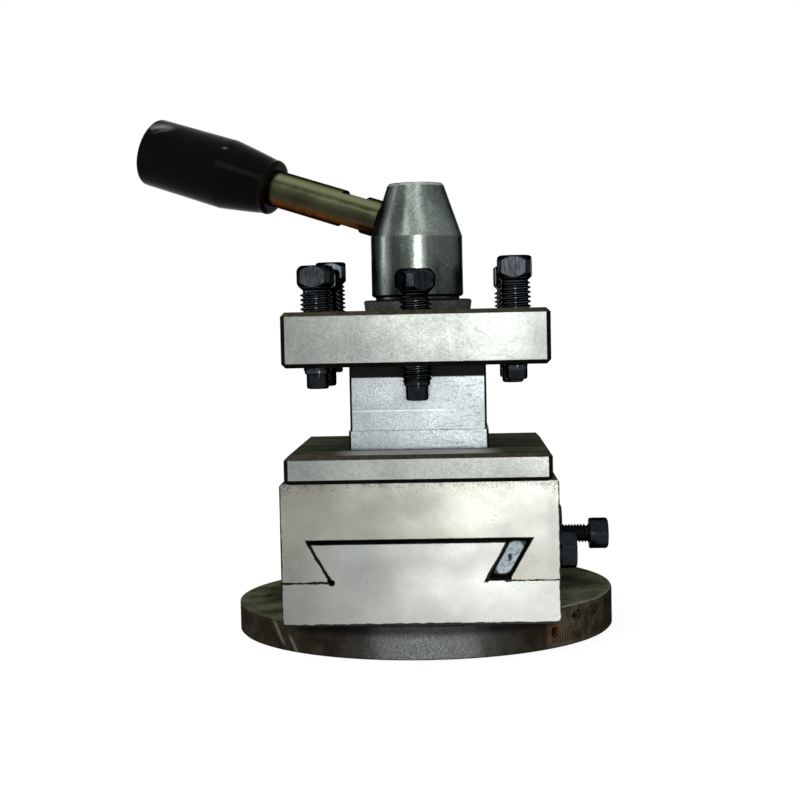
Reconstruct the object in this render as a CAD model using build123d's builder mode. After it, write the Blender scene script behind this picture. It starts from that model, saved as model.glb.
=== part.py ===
from build123d import *
import os
from math import cos, radians, sin, tan

os.makedirs("parts", exist_ok=True)

# Four-way square tool post on its top slide, in millimetres.
# X is across the slide, Y is along it away from the free end, Z is up.
# The origin is on the swivel axis, in the flat underside of the swivel base.

# Fits and clearances
thread_clearance = 0.05
running_clearance = 0.05
way_clearance = 0.3
screw_tip_clearance = 0.3
pocket_clearance = 0.3
seat_gap = 0.1

# Swivel base: disc, raised graduated segment, pad and block
disc_radius = 78.4
disc_thickness = 11.7
disc_edge = 0.6
graduated_thickness = 16.1
graduated_start = 47.9
graduated_edge = 1.6
pad_height = 1.8
body_width = 105.2
block_height = 16.5
block_length = 156.8
block_corner = 3.2
pivot_radius = 22.0
pivot_depth = 14.0

# Small holes in the disc, each as radius, depth and place
oil_hole_radius = 2.2
oil_hole_depth = 6.0
oil_hole_x = -66.2
oil_hole_y = 1.4
pin_hole_radius = 1.3
pin_hole_depth = 3.0
pin_hole_inner_x = 58.6
pin_hole_outer_x = 65.4
pin_hole_y = -17.8
rim_hole_radius = 2.1
rim_hole_depth = 8.0
rim_hole_angle = -49.2
rim_hole_height = 6.4

# Dovetail ways
dovetail_angle = 60.0
dovetail_height = 14.4
dovetail_root_width = 58.4
dovetail_centre = -4.4
dovetail_edge = 0.8
dovetail_relief_left = 1.2
dovetail_relief_right = 0.5
cavity_gap = 1.8
cavity_corner = 1.2
cheek_blunt_left = 1.2
cheek_blunt_right = 0.7

# Gib strip, the screws that set it and their locking nuts
gib_thickness = 6.2
gib_height = 12.9
gib_lift = 2.1
gib_back_gap = 1.0
gib_edge = 1.2
gib_end_edge = 0.5
gib_set_in = 1.0
gib_screw_radius = 4.0
gib_screw_tip = 3.0
gib_screw_tip_length = 2.0
gib_screw_sunk = 0.6
gib_screw_rise = 6.6
gib_screw_front_y = -48.0
gib_screw_mid_y = 45.0
gib_screw_rear_y = 95.0
gib_screw_socket = 4.0
gib_screw_socket_depth = 5.0
gib_nut_flats = 13.0
gib_nut_height = 6.5
gib_nut_face_radius = 6.4
gib_nut_face_height = 1.6
gib_nut_turn = -18.0

# Top slide
slide_length = 200.0
slide_height = 37.9
slide_edge = 0.9

# Locking screw of the slide, with a socket head
lock_y = 0.0
lock_radius = 4.0
lock_length = 31.3
lock_tip_radius = 3.0
lock_tip_length = 3.0
lock_head_radius = 6.5
lock_head_height = 8.0
lock_head_edge = 0.8
lock_socket = 6.0
lock_socket_depth = 4.0

# Feed screw, its nut in the base and the bolt that holds the nut
feed_rise = 8.4
feed_radius = 6.0
feed_front = -27.0
feed_collar_radius = 7.4
feed_collar_length = 4.0
feed_screw_edge = 1.0
journal_radius = 5.0
tail_radius = 4.0
tail_length = 7.5
channel_width = 17.0
channel_front_wall = 12.0
channel_floor_rise = 1.2
nut_y = 18.0
nut_length = 24.0
nut_top_gap = 0.8
nut_top_edge = 0.6
nut_shank_radius = 9.0
nut_shank_depth = 12.8
bolt_drop = 7.4
bolt_radius = 3.0
bolt_flats = 10.0
bolt_head_height = 4.0
bolt_nut_height = 3.2
bolt_sink_radius = 6.6
bolt_sink_depth = 9.0
bolt_nut_gap = 0.2
hex_edge = 0.7

# Bearing bracket on the rear end of the slide
bracket_thickness = 14.0
bracket_inset = 4.6
bracket_top_drop = 4.0
bracket_shelf_rise = 12.0
bracket_boss_radius = 17.0
bracket_corner = 6.0
bracket_screw_inset = 20.6
bracket_screw_rise = 27.0
bracket_screw_radius = 3.0
bracket_screw_depth = 16.0
bracket_screw_head_radius = 5.0
bracket_screw_head_height = 6.0
bracket_screw_head_gap = 0.3
bracket_screw_socket = 5.0
bracket_screw_socket_depth = 3.0

# Dial, crank and grip
dial_radius = 26.0
dial_hub_radius = 19.0
dial_width = 14.0
dial_knurl_width = 5.0
dial_edge = 1.0
dial_gap = 0.3
crank_hub_radius = 11.0
crank_hub_length = 15.0
crank_arm_thickness = 9.0
crank_throw = 28.0
crank_end_radius = 8.0
crank_angle = 200.0
crank_edge = 1.0
crank_nut_flats = 13.0
crank_nut_height = 6.5
pin_radius = 3.0
pin_head_radius = 4.6
pin_head_height = 2.4
pin_head_edge = 0.6
grip_length = 46.0
grip_radius = 7.0
grip_waist = 5.2
grip_play = 0.4
grip_nose = 2.0
grip_nose_drop = 3.0
grip_edge = 0.6
grip_swell = 0.6

# Tool post block
post_width = 100.0
post_set_back = 42.4
post_gap = 0.1
seat_plate = 10.7
slot_height = 32.7
slot_depth = 23.7
top_plate = 20.8
post_edge = 1.6
core_edge = 0.8
core_foot = 0.6
core_foot_height = 7.4
detent_ball = 4.0
detent_depth = 1.4
detent_radius = 39.0

# Clamp screws, with square heads and dog points
screw_margin = 12.6
screw_radius = 6.0
screw_flats = 12.6
screw_head_height = 8.4
screw_head_corner = 1.9
screw_corner_radius = 7.9
screw_corner_drop = 1.8
screw_neck_radius = 4.9
screw_neck_length = 1.2
screw_thread_runout = 1.0
screw_corner_undercut = 0.6
screw_point_radius = 4.25
screw_point_length = 5.8
screw_point_edge = 0.6
screw_hole_edge = 0.6

# Lengths of the clamp screws: at the left, in the middle rows and at the right
screw_left_length = 46.4
screw_mid_length = 49.6
screw_right_length = 46.4

# Heights of the clamp screws' head tops above the post
front_left_rise = 17.4
front_mid_rise = 15.5
front_right_rise = 19.6
mid_left_rise = 16.8
mid_right_rise = 16.9
rear_left_rise = 20.8
rear_mid_rise = 14.5
rear_right_rise = 17.4

# Centre stud, washer and clamp nut
stud_root_radius = 10.0
stud_root_depth = 16.0
stud_shoulder_radius = 13.0
stud_shoulder_below_top = 4.2
stud_thread_radius = 10.0
stud_top_above_post = 21.8
stud_edge = 1.0
washer_radius = 21.0
washer_top_radius = 21.5
washer_thickness = 4.1
washer_edge = 0.7
washer_bore_clearance = 0.4
nut_neck_radius = 16.7
nut_neck_height = 1.0
nut_radius = 18.2
nut_straight = 23.8
nut_cone = 21.0
nut_top_radius = 11.25
nut_edge = 0.8
nut_bore_spare = 2.0
nut_bore_cone = 4.0

# Lever: rod and knob, on a line that leaves the post axis upwards and away
lever_bearing = 20.0
lever_rise = 17.6
lever_root_height = 31.6
lever_seat = 14.4
lever_seat_clearance = 0.4
rod_radius = 7.5
rod_spigot_radius = 6.0
rod_spigot_depth = 10.0
rod_end = 70.0
rod_edge = 0.8
rod_flats = 12.4
rod_flats_start = 22.7
rod_flats_length = 10.9
rod_flats_spare = 1.0
knob_start = 64.6
knob_length = 60.2
knob_lip_radius = 11.3
knob_neck_radius = 11.25
knob_radius = 14.5
knob_end_radius = 14.2
knob_taper = 20.1
knob_lip = 2.6
knob_dome = 1.6
knob_thread_radius = 5.0
knob_thread_depth = 26.0
knob_thread_spare = 2.0
knob_lip_edge = 1.6
knob_swell = 0.1

# Index plunger and its spring, in the slide under the post
plunger_radius = 4.0
plunger_length = 9.0
plunger_bore_depth = 17.5
plunger_dome = 2.4
plunger_angle = 45.0
spring_radius = 3.6
spring_wall = 0.8
spring_gap = 0.2

# Heights
pad_top = disc_thickness + pad_height
joint_z = pad_top + block_height
dovetail_top = joint_z + dovetail_height
cavity_top = dovetail_top + cavity_gap
slide_top = joint_z + slide_height
post_bottom = slide_top + post_gap
seat_z = post_bottom + seat_plate
slot_top = seat_z + slot_height
post_top = slot_top + top_plate
washer_top = post_top + washer_thickness
nut_bottom = washer_top + seat_gap
feed_z = joint_z + feed_rise
gib_screw_z = joint_z + gib_screw_rise
bolt_z = joint_z - bolt_drop
channel_floor = joint_z + channel_floor_rise

# Places along the slide
front_y = -disc_radius
base_rear = front_y + block_length
base_mid = front_y + block_length / 2
slide_rear = front_y + slide_length
post_y = front_y + post_set_back
bracket_rear = slide_rear + bracket_thickness
dial_front = bracket_rear + dial_gap
dial_rear = dial_front + dial_width
crank_rear = dial_rear + crank_hub_length

# Dovetail lines, as X of the left and right flanks at the joint
flank_run = 1 / tan(radians(dovetail_angle))
flank_level = 1 / sin(radians(dovetail_angle))
male_left = dovetail_centre - dovetail_root_width / 2
male_right = dovetail_centre + dovetail_root_width / 2
female_left = male_left - way_clearance * flank_level
gib_front = male_right + way_clearance * flank_level
gib_back = gib_front + gib_thickness * flank_level
female_right = gib_back + gib_back_gap * flank_level

# Each clamp screw: place in pitches, length, height of its head and turn of its head
clamp_screws = {
    "front_left": (-1, -1, screw_left_length, front_left_rise, 4),
    "front_mid": (0, -1, screw_mid_length, front_mid_rise, 32),
    "front_right": (1, -1, screw_right_length, front_right_rise, -6),
    "mid_left": (-1, 0, screw_left_length, mid_left_rise, 6),
    "mid_right": (1, 0, screw_right_length, mid_right_rise, 2),
    "rear_left": (-1, 1, screw_left_length, rear_left_rise, 5),
    "rear_mid": (0, 1, screw_mid_length, rear_mid_rise, 30),
    "rear_right": (1, 1, screw_right_length, rear_right_rise, 0),
}

# Core between the tool slots
core_width = post_width - 2 * slot_depth

# Centres of the repeated holes
screw_pitch = post_width / 2 - screw_margin
gib_screw_places = (gib_screw_front_y, gib_screw_mid_y, gib_screw_rear_y)
bracket_screw_xs = (bracket_screw_inset - body_width / 2, body_width / 2 - bracket_screw_inset)
screw_centres = [
    (spot[0] * screw_pitch, post_y + spot[1] * screw_pitch) for spot in clamp_screws.values()
]
plunger_place = (
    detent_radius * cos(radians(plunger_angle)),
    post_y + detent_radius * sin(radians(plunger_angle)),
)
detent_centres = [
    (
        detent_radius * cos(radians(plunger_angle + turn)),
        post_y + detent_radius * sin(radians(plunger_angle + turn)),
        post_bottom - detent_ball + detent_depth,
    )
    for turn in (0, 90, 180, 270)
]

# Planes and axes
feed_plane = Plane(origin=(0, 0, feed_z), x_dir=(0, 1, 0), z_dir=(1, 0, 0))
feed_axis = Axis((0, 0, feed_z), (0, 1, 0))
post_plane = Plane(origin=(0, post_y, 0), x_dir=(1, 0, 0), z_dir=(0, -1, 0))
post_axis = Axis((0, post_y, 0), (0, 0, 1))
lever_flat = (-cos(radians(lever_bearing)), sin(radians(lever_bearing)))
lever_dir = (
    lever_flat[0] * cos(radians(lever_rise)),
    lever_flat[1] * cos(radians(lever_rise)),
    sin(radians(lever_rise)),
)
lever_side = (-lever_flat[1], lever_flat[0], 0)
lever_origin = (0, post_y, post_top + lever_root_height)
lever_plane = Plane(origin=lever_origin, x_dir=lever_dir, z_dir=lever_side)
lever_cross = Plane(origin=lever_origin, x_dir=lever_side, z_dir=lever_dir)
lever_axis = Axis(lever_origin, lever_dir)


def across(y):
    """Plane square to the slide at y, facing the free end."""
    return Plane(origin=(0, y, 0), x_dir=(1, 0, 0), z_dir=(0, -1, 0))


def rightward(x):
    """Plane square to X at x, with Y to its right and Z up."""
    return Plane(origin=(x, 0, 0), x_dir=(0, 1, 0), z_dir=(1, 0, 0))


def gib_back_at(z):
    """X of the back of the gib strip at height z."""
    return gib_back + (z - joint_z) * flank_run


# Swivel base: one casting with the male dovetail on top
with BuildPart() as swivel_base:
    with BuildSketch(Plane.XY):
        Circle(disc_radius)
    extrude(amount=disc_thickness)
    chamfer(swivel_base.edges().group_by(Axis.Z)[0], length=disc_edge)
    with BuildSketch(Plane.XY.offset(disc_thickness)):
        Circle(disc_radius)
        with Locations((graduated_start - disc_radius, 0)):
            Rectangle(2 * disc_radius, 2 * disc_radius, mode=Mode.SUBTRACT)
    extrude(amount=graduated_thickness - disc_thickness)
    graduated_rim = swivel_base.edges().filter_by(GeomType.CIRCLE).group_by(Axis.Z)[-1]
    fillet(graduated_rim, radius=graduated_edge)
    with BuildSketch(Plane.XY.offset(disc_thickness)):
        Circle(disc_radius)
        with Locations((0, base_mid)):
            Rectangle(body_width - 2 * block_corner, block_length, mode=Mode.INTERSECT)
    extrude(amount=pad_height)
    # Block and dovetail, drawn in the front face
    with BuildSketch(across(base_rear)) as block_section:
        with BuildLine():
            Polyline(
                (-body_width / 2, pad_top),
                (-body_width / 2, joint_z),
                (male_left, joint_z),
                (male_left - dovetail_height * flank_run, dovetail_top),
                (male_right + dovetail_height * flank_run, dovetail_top),
                (male_right, joint_z),
                (body_width / 2, joint_z),
                (body_width / 2, pad_top),
                close=True,
            )
        make_face()
        fillet(block_section.vertices().group_by(Axis.Y)[0], radius=block_corner)
        chamfer(block_section.vertices().group_by(Axis.Y)[-1], length=dovetail_edge)
        with Locations((male_left, joint_z)):
            Circle(dovetail_relief_left, mode=Mode.SUBTRACT)
        with Locations((male_right, joint_z)):
            Circle(dovetail_relief_right, mode=Mode.SUBTRACT)
    extrude(amount=block_length)
    # Channel for the feed screw, closed at the free end
    with BuildSketch(Plane.XY.offset(dovetail_top)):
        with Locations((0, front_y + channel_front_wall)):
            Rectangle(
                channel_width,
                block_length - channel_front_wall,
                align=(Align.CENTER, Align.MIN),
            )
    extrude(amount=-(dovetail_height - channel_floor_rise), mode=Mode.SUBTRACT)
    # Pocket for the shank of the feed nut
    with BuildSketch(Plane.XY.offset(channel_floor)):
        with Locations((0, nut_y)):
            Circle(nut_shank_radius + running_clearance)
    extrude(amount=-(nut_shank_depth + pocket_clearance), mode=Mode.SUBTRACT)
    # Tapped hole for the bolt that holds the feed nut, with its head sunk in the side
    with BuildSketch(rightward(body_width / 2)):
        with Locations((nut_y, bolt_z)):
            Circle(bolt_radius + thread_clearance)
    extrude(amount=-(body_width / 2), mode=Mode.SUBTRACT)
    with BuildSketch(rightward(body_width / 2)):
        with Locations((nut_y, bolt_z)):
            Circle(bolt_sink_radius)
    extrude(amount=-bolt_sink_depth, mode=Mode.SUBTRACT)
    # Bore that turns on the spigot below
    with BuildSketch(Plane.XY):
        Circle(pivot_radius)
    extrude(amount=pivot_depth, mode=Mode.SUBTRACT)
    # Small holes in the disc
    with BuildSketch(Plane.XY.offset(disc_thickness)):
        with Locations((oil_hole_x, oil_hole_y)):
            Circle(oil_hole_radius)
    extrude(amount=-oil_hole_depth, mode=Mode.SUBTRACT)
    with BuildSketch(Plane.XY.offset(graduated_thickness)):
        with Locations((pin_hole_inner_x, pin_hole_y), (pin_hole_outer_x, pin_hole_y)):
            Circle(pin_hole_radius)
    extrude(amount=-pin_hole_depth, mode=Mode.SUBTRACT)
    # Radial hole in the rim
    rim_plane = Plane(
        origin=(
            disc_radius * cos(radians(rim_hole_angle)),
            disc_radius * sin(radians(rim_hole_angle)),
            rim_hole_height,
        ),
        z_dir=(cos(radians(rim_hole_angle)), sin(radians(rim_hole_angle)), 0),
    )
    with BuildSketch(rim_plane):
        Circle(rim_hole_radius)
    extrude(amount=-rim_hole_depth, mode=Mode.SUBTRACT)
    with BuildSketch(rim_plane):
        Circle(rim_hole_radius)
    extrude(amount=rim_hole_radius, mode=Mode.SUBTRACT)
swivel_base.part.label = "swivel_base"
export_step(swivel_base.part, "parts/swivel_base.step")

# Feed nut: a block in the channel with a shank in the pocket
with BuildPart() as feed_nut:
    with BuildSketch(Plane.XY.offset(channel_floor)):
        with Locations((0, nut_y)):
            Rectangle(channel_width - 2 * way_clearance, nut_length)
    extrude(amount=cavity_top - nut_top_gap - channel_floor)
    chamfer(feed_nut.edges().group_by(Axis.Z)[-1], length=nut_top_edge)
    with BuildSketch(Plane.XY.offset(channel_floor)):
        with Locations((0, nut_y)):
            Circle(nut_shank_radius)
    extrude(amount=-nut_shank_depth)
    with BuildSketch(across(nut_y)):
        with Locations((0, feed_z)):
            Circle(feed_radius + running_clearance)
    extrude(amount=nut_length, both=True, mode=Mode.SUBTRACT)
feed_nut.part.label = "feed_nut"
export_step(feed_nut.part, "parts/feed_nut.step")

# Hexagon bolt that holds the feed nut, with its locking nut
bolt_nut_x = body_width / 2 - bolt_sink_depth + bolt_nut_gap
bolt_head_x = bolt_nut_x + bolt_nut_height + seat_gap
with BuildPart() as nut_bolt:
    with BuildSketch(rightward(nut_shank_radius + screw_tip_clearance)):
        with Locations((nut_y, bolt_z)):
            Circle(bolt_radius)
    extrude(amount=bolt_head_x - nut_shank_radius - screw_tip_clearance)
    with BuildSketch(rightward(bolt_head_x)):
        with Locations((nut_y, bolt_z)):
            RegularPolygon(bolt_flats / 2, 6, major_radius=False, rotation=30)
    extrude(amount=bolt_head_height)
    chamfer(nut_bolt.edges().group_by(Axis.X)[-1], length=hex_edge)
nut_bolt.part.label = "nut_bolt"
export_step(nut_bolt.part, "parts/nut_bolt.step")

with BuildPart() as bolt_lock_nut:
    with BuildSketch(rightward(bolt_nut_x)):
        with Locations((nut_y, bolt_z)):
            RegularPolygon(bolt_flats / 2, 6, major_radius=False, rotation=30)
    extrude(amount=bolt_nut_height)
    chamfer(bolt_lock_nut.edges().group_by(Axis.X)[0], length=hex_edge)
    chamfer(bolt_lock_nut.edges().group_by(Axis.X)[-1], length=hex_edge)
    with BuildSketch(rightward(bolt_nut_x)):
        with Locations((nut_y, bolt_z)):
            Circle(bolt_radius + thread_clearance)
    extrude(amount=bolt_nut_height, mode=Mode.SUBTRACT)
bolt_lock_nut.part.label = "bolt_lock_nut"
export_step(bolt_lock_nut.part, "parts/bolt_lock_nut.step")

# Top slide: the female dovetail, with room for the gib on the right
with BuildPart() as top_slide:
    with BuildSketch(across(slide_rear)) as slide_section:
        with Locations((0, joint_z)):
            Rectangle(body_width, slide_height, align=(Align.CENTER, Align.MIN))
        chamfer(slide_section.vertices().group_by(Axis.Y)[-1], length=slide_edge)
        with BuildLine():
            Polyline(
                (female_left, joint_z),
                (female_left - (cavity_top - joint_z) * flank_run, cavity_top),
                (female_right + (cavity_top - joint_z) * flank_run, cavity_top),
                (female_right, joint_z),
                close=True,
            )
        make_face(mode=Mode.SUBTRACT)
        fillet(slide_section.vertices().group_by(Axis.Y)[-2], radius=cavity_corner)
        # Blunt tips on the two cheeks
        with Locations((female_left - cheek_blunt_left, joint_z)):
            Rectangle(
                2 * cheek_blunt_left,
                cheek_blunt_left / flank_run,
                align=(Align.MIN, Align.MIN),
                mode=Mode.SUBTRACT,
            )
        with Locations((female_right + cheek_blunt_right, joint_z)):
            Rectangle(
                2 * cheek_blunt_right,
                cheek_blunt_right / flank_run,
                align=(Align.MAX, Align.MIN),
                mode=Mode.SUBTRACT,
            )
    extrude(amount=slide_length)
    # Bore for the centre stud and bore for the index plunger
    with BuildSketch(Plane.XY.offset(slide_top)):
        with Locations((0, post_y)):
            Circle(stud_root_radius)
    extrude(amount=-stud_root_depth, mode=Mode.SUBTRACT)
    with BuildSketch(Plane.XY.offset(slide_top)):
        with Locations(plunger_place):
            Circle(plunger_radius + running_clearance)
    extrude(amount=-plunger_bore_depth, mode=Mode.SUBTRACT)
    # Tapped holes in the right cheek, and for the bracket at the rear
    with BuildSketch(rightward(body_width / 2)):
        with Locations(*[(y, gib_screw_z) for y in gib_screw_places]):
            Circle(gib_screw_radius + thread_clearance)
        with Locations((lock_y, gib_screw_z)):
            Circle(lock_radius + thread_clearance)
    extrude(amount=-(body_width / 2 - gib_front), mode=Mode.SUBTRACT)
    with BuildSketch(across(slide_rear)):
        with Locations(*[(x, joint_z + bracket_screw_rise) for x in bracket_screw_xs]):
            Circle(bracket_screw_radius + thread_clearance)
    extrude(amount=bracket_screw_depth, mode=Mode.SUBTRACT)
top_slide.part.label = "top_slide"
export_step(top_slide.part, "parts/top_slide.step")

# Gib strip, slid in along the right flank
with BuildPart() as gib_strip:
    gib_bottom = joint_z + gib_lift
    gib_top = gib_bottom + gib_height
    with BuildSketch(across(slide_rear - gib_set_in)) as gib_section:
        with BuildLine():
            Polyline(
                (gib_front + gib_lift * flank_run, gib_bottom),
                (gib_front + (gib_lift + gib_height) * flank_run, gib_top),
                (gib_back + (gib_lift + gib_height) * flank_run, gib_top),
                (gib_back + gib_lift * flank_run, gib_bottom),
                close=True,
            )
        make_face()
        chamfer(gib_section.vertices(), length=gib_edge)
    extrude(amount=slide_length - 2 * gib_set_in)
    chamfer(gib_strip.edges().group_by(Axis.Y)[0], length=gib_end_edge)
    chamfer(gib_strip.edges().group_by(Axis.Y)[-1], length=gib_end_edge)
gib_strip.part.label = "gib_strip"
export_step(gib_strip.part, "parts/gib_strip.step")

# Grub screws that set the gib, each with a locking nut on the right cheek
gib_nut_x = body_width / 2 + seat_gap
gib_nut_end = gib_nut_x + gib_nut_face_height + gib_nut_height
for count, place in enumerate(gib_screw_places, start=1):
    tip_x = gib_back_at(gib_screw_z + gib_screw_tip) + screw_tip_clearance
    end_x = gib_nut_end - gib_screw_sunk
    with BuildPart() as gib_screw:
        with BuildSketch(rightward(tip_x)):
            with Locations((place, gib_screw_z)):
                Circle(gib_screw_tip)
        extrude(amount=gib_screw_tip_length)
        with BuildSketch(rightward(tip_x + gib_screw_tip_length)):
            with Locations((place, gib_screw_z)):
                Circle(gib_screw_radius)
        extrude(amount=end_x - tip_x - gib_screw_tip_length)
        with BuildSketch(rightward(end_x)):
            with Locations((place, gib_screw_z)):
                RegularPolygon(gib_screw_socket / 2, 6, major_radius=False)
        extrude(amount=-gib_screw_socket_depth, mode=Mode.SUBTRACT)
    gib_screw.part.label = f"gib_screw_{count}"
    export_step(gib_screw.part, f"parts/gib_screw_{count}.step")
    with BuildPart() as gib_nut:
        with BuildSketch(rightward(gib_nut_x + gib_nut_face_height)):
            with Locations((place, gib_screw_z)):
                RegularPolygon(gib_nut_flats / 2, 6, major_radius=False, rotation=gib_nut_turn)
        extrude(amount=gib_nut_height)
        chamfer(gib_nut.edges().group_by(Axis.X)[-1], length=hex_edge)
        with BuildSketch(rightward(gib_nut_x)):
            with Locations((place, gib_screw_z)):
                Circle(gib_nut_face_radius)
        extrude(amount=gib_nut_face_height)
        with BuildSketch(rightward(gib_nut_x)):
            with Locations((place, gib_screw_z)):
                Circle(gib_screw_radius + thread_clearance)
        extrude(amount=gib_nut_face_height + gib_nut_height, mode=Mode.SUBTRACT)
    gib_nut.part.label = f"gib_nut_{count}"
    export_step(gib_nut.part, f"parts/gib_nut_{count}.step")

# Locking screw of the slide, standing out of the right cheek
with BuildPart() as slide_lock_screw:
    lock_tip = gib_back_at(gib_screw_z + lock_tip_radius) + screw_tip_clearance
    lock_seat = lock_tip + lock_length
    lock_plane = Plane(origin=(0, lock_y, gib_screw_z), x_dir=(1, 0, 0), z_dir=(0, -1, 0))
    with BuildSketch(lock_plane):
        with BuildLine():
            Polyline(
                (lock_tip, 0),
                (lock_tip, lock_tip_radius),
                (lock_tip + lock_tip_length, lock_tip_radius),
                (lock_tip + lock_tip_length + lock_radius - lock_tip_radius, lock_radius),
                (lock_seat, lock_radius),
                (lock_seat, lock_head_radius - lock_head_edge / 2),
                (lock_seat + lock_head_edge / 2, lock_head_radius),
                (lock_seat + lock_head_height - lock_head_edge, lock_head_radius),
                (lock_seat + lock_head_height, lock_head_radius - lock_head_edge),
                (lock_seat + lock_head_height, 0),
                close=True,
            )
        make_face()
    revolve(axis=Axis((0, lock_y, gib_screw_z), (1, 0, 0)))
    with BuildSketch(rightward(lock_seat + lock_head_height)):
        with Locations((lock_y, gib_screw_z)):
            RegularPolygon(lock_socket / 2, 6, major_radius=False)
    extrude(amount=-lock_socket_depth, mode=Mode.SUBTRACT)
slide_lock_screw.part.label = "slide_lock_screw"
export_step(slide_lock_screw.part, "parts/slide_lock_screw.step")

# Bearing bracket: a shelf bolted to the slide with a boss round the screw
with BuildPart() as bearing_bracket:
    with BuildSketch(across(bracket_rear)) as bracket_outline:
        shelf_bottom = joint_z + bracket_shelf_rise
        shelf_top = slide_top - bracket_top_drop
        with Locations((0, shelf_bottom)):
            Rectangle(
                body_width - 2 * bracket_inset,
                shelf_top - shelf_bottom,
                align=(Align.CENTER, Align.MIN),
            )
        fillet(bracket_outline.vertices(), radius=bracket_corner)
        with Locations((0, feed_z)):
            Circle(bracket_boss_radius)
            Rectangle(
                2 * bracket_boss_radius,
                shelf_bottom - feed_z + bracket_corner,
                align=(Align.CENTER, Align.MIN),
            )
        with Locations((0, feed_z)):
            Circle(journal_radius + running_clearance, mode=Mode.SUBTRACT)
        with Locations(*[(x, joint_z + bracket_screw_rise) for x in bracket_screw_xs]):
            Circle(bracket_screw_radius + thread_clearance, mode=Mode.SUBTRACT)
    extrude(amount=bracket_thickness)
    with BuildSketch(across(bracket_rear)):
        with Locations(*[(x, joint_z + bracket_screw_rise) for x in bracket_screw_xs]):
            Circle(bracket_screw_head_radius + bracket_screw_head_gap)
    extrude(amount=bracket_screw_head_height, mode=Mode.SUBTRACT)
bearing_bracket.part.label = "bearing_bracket"
export_step(bearing_bracket.part, "parts/bearing_bracket.step")

for side, x in zip(("left", "right"), bracket_screw_xs):
    with BuildPart() as bracket_screw:
        with BuildSketch(across(bracket_rear)):
            with Locations((x, joint_z + bracket_screw_rise)):
                Circle(bracket_screw_head_radius)
        extrude(amount=bracket_screw_head_height)
        with BuildSketch(across(bracket_rear - bracket_screw_head_height)):
            with Locations((x, joint_z + bracket_screw_rise)):
                Circle(bracket_screw_radius)
        extrude(
            amount=bracket_thickness
            - bracket_screw_head_height
            + bracket_screw_depth
            - screw_tip_clearance
        )
        with BuildSketch(across(bracket_rear)):
            with Locations((x, joint_z + bracket_screw_rise)):
                RegularPolygon(bracket_screw_socket / 2, 6, major_radius=False)
        extrude(amount=bracket_screw_socket_depth, mode=Mode.SUBTRACT)
    bracket_screw.part.label = f"bracket_screw_{side}"
    export_step(bracket_screw.part, f"parts/bracket_screw_{side}.step")

# Feed screw: screw, collar, journal and threaded tail
with BuildPart() as feed_screw:
    collar_rear = slide_rear - seat_gap
    with BuildSketch(feed_plane):
        with BuildLine():
            Polyline(
                (feed_front, 0),
                (feed_front, feed_radius - feed_screw_edge),
                (feed_front + feed_screw_edge, feed_radius),
                (collar_rear - feed_collar_length, feed_radius),
                (collar_rear - feed_collar_length, feed_collar_radius),
                (collar_rear, feed_collar_radius),
                (collar_rear, journal_radius),
                (crank_rear, journal_radius),
                (crank_rear, tail_radius),
                (crank_rear + tail_length, tail_radius),
                (crank_rear + tail_length + feed_screw_edge, tail_radius - feed_screw_edge),
                (crank_rear + tail_length + feed_screw_edge, 0),
                close=True,
            )
        make_face()
    revolve(axis=feed_axis)
feed_screw.part.label = "feed_screw"
export_step(feed_screw.part, "parts/feed_screw.step")

# Dial with a knurled band at its rear
with BuildPart() as feed_dial:
    with BuildSketch(feed_plane):
        with BuildLine():
            Polyline(
                (dial_front, journal_radius),
                (dial_front, dial_radius - dial_edge),
                (dial_front + dial_edge, dial_radius),
                (dial_rear - dial_knurl_width, dial_radius),
                (dial_rear - dial_knurl_width, dial_hub_radius),
                (dial_rear - dial_edge, dial_hub_radius),
                (dial_rear, dial_hub_radius - dial_edge),
                (dial_rear, journal_radius),
                close=True,
            )
        make_face()
    revolve(axis=feed_axis)
feed_dial.part.label = "feed_dial"
export_step(feed_dial.part, "parts/feed_dial.step")

# Crank: hub, tapered arm and end boss
crank_plane = Plane(origin=(0, crank_rear, feed_z), x_dir=(1, 0, 0), z_dir=(0, -1, 0))
crank_x = crank_throw * cos(radians(crank_angle))
crank_rise = crank_throw * sin(radians(crank_angle))
with BuildPart() as crank:
    with BuildSketch(crank_plane):
        Circle(crank_hub_radius)
    extrude(amount=crank_hub_length)
    with BuildSketch(crank_plane) as crank_arm:
        Circle(crank_hub_radius)
        with Locations((crank_x, crank_rise)):
            Circle(crank_end_radius)
        make_hull()
    extrude(amount=crank_arm_thickness)
    chamfer(crank.edges().group_by(Axis.Y)[-1], length=crank_edge)
    with BuildSketch(crank_plane):
        Circle(journal_radius)
        with Locations((crank_x, crank_rise)):
            Circle(pin_radius)
    extrude(amount=crank_hub_length, mode=Mode.SUBTRACT)
crank.part.label = "crank"
export_step(crank.part, "parts/crank.step")

with BuildPart() as crank_nut:
    with BuildSketch(crank_plane.offset(-seat_gap)):
        RegularPolygon(crank_nut_flats / 2, 6, major_radius=False)
        Circle(tail_radius, mode=Mode.SUBTRACT)
    extrude(amount=-crank_nut_height)
crank_nut.part.label = "crank_nut"
export_step(crank_nut.part, "parts/crank_nut.step")

# Pin of the grip, riveted in the arm, with a head at its rear end
grip_front = crank_rear + grip_play
grip_rear = grip_front + grip_length
with BuildPart() as grip_pin:
    with BuildSketch(crank_plane):
        with Locations((crank_x, crank_rise)):
            Circle(pin_radius)
    extrude(amount=crank_arm_thickness)
    with BuildSketch(crank_plane):
        with Locations((crank_x, crank_rise)):
            Circle(pin_radius)
    extrude(amount=-(2 * grip_play + grip_length))
    with BuildSketch(crank_plane.offset(-(2 * grip_play + grip_length))):
        with Locations((crank_x, crank_rise)):
            Circle(pin_head_radius)
    extrude(amount=-pin_head_height)
    chamfer(grip_pin.edges().group_by(Axis.Y)[-1], length=pin_head_edge)
grip_pin.part.label = "grip_pin"
export_step(grip_pin.part, "parts/grip_pin.step")

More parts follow.
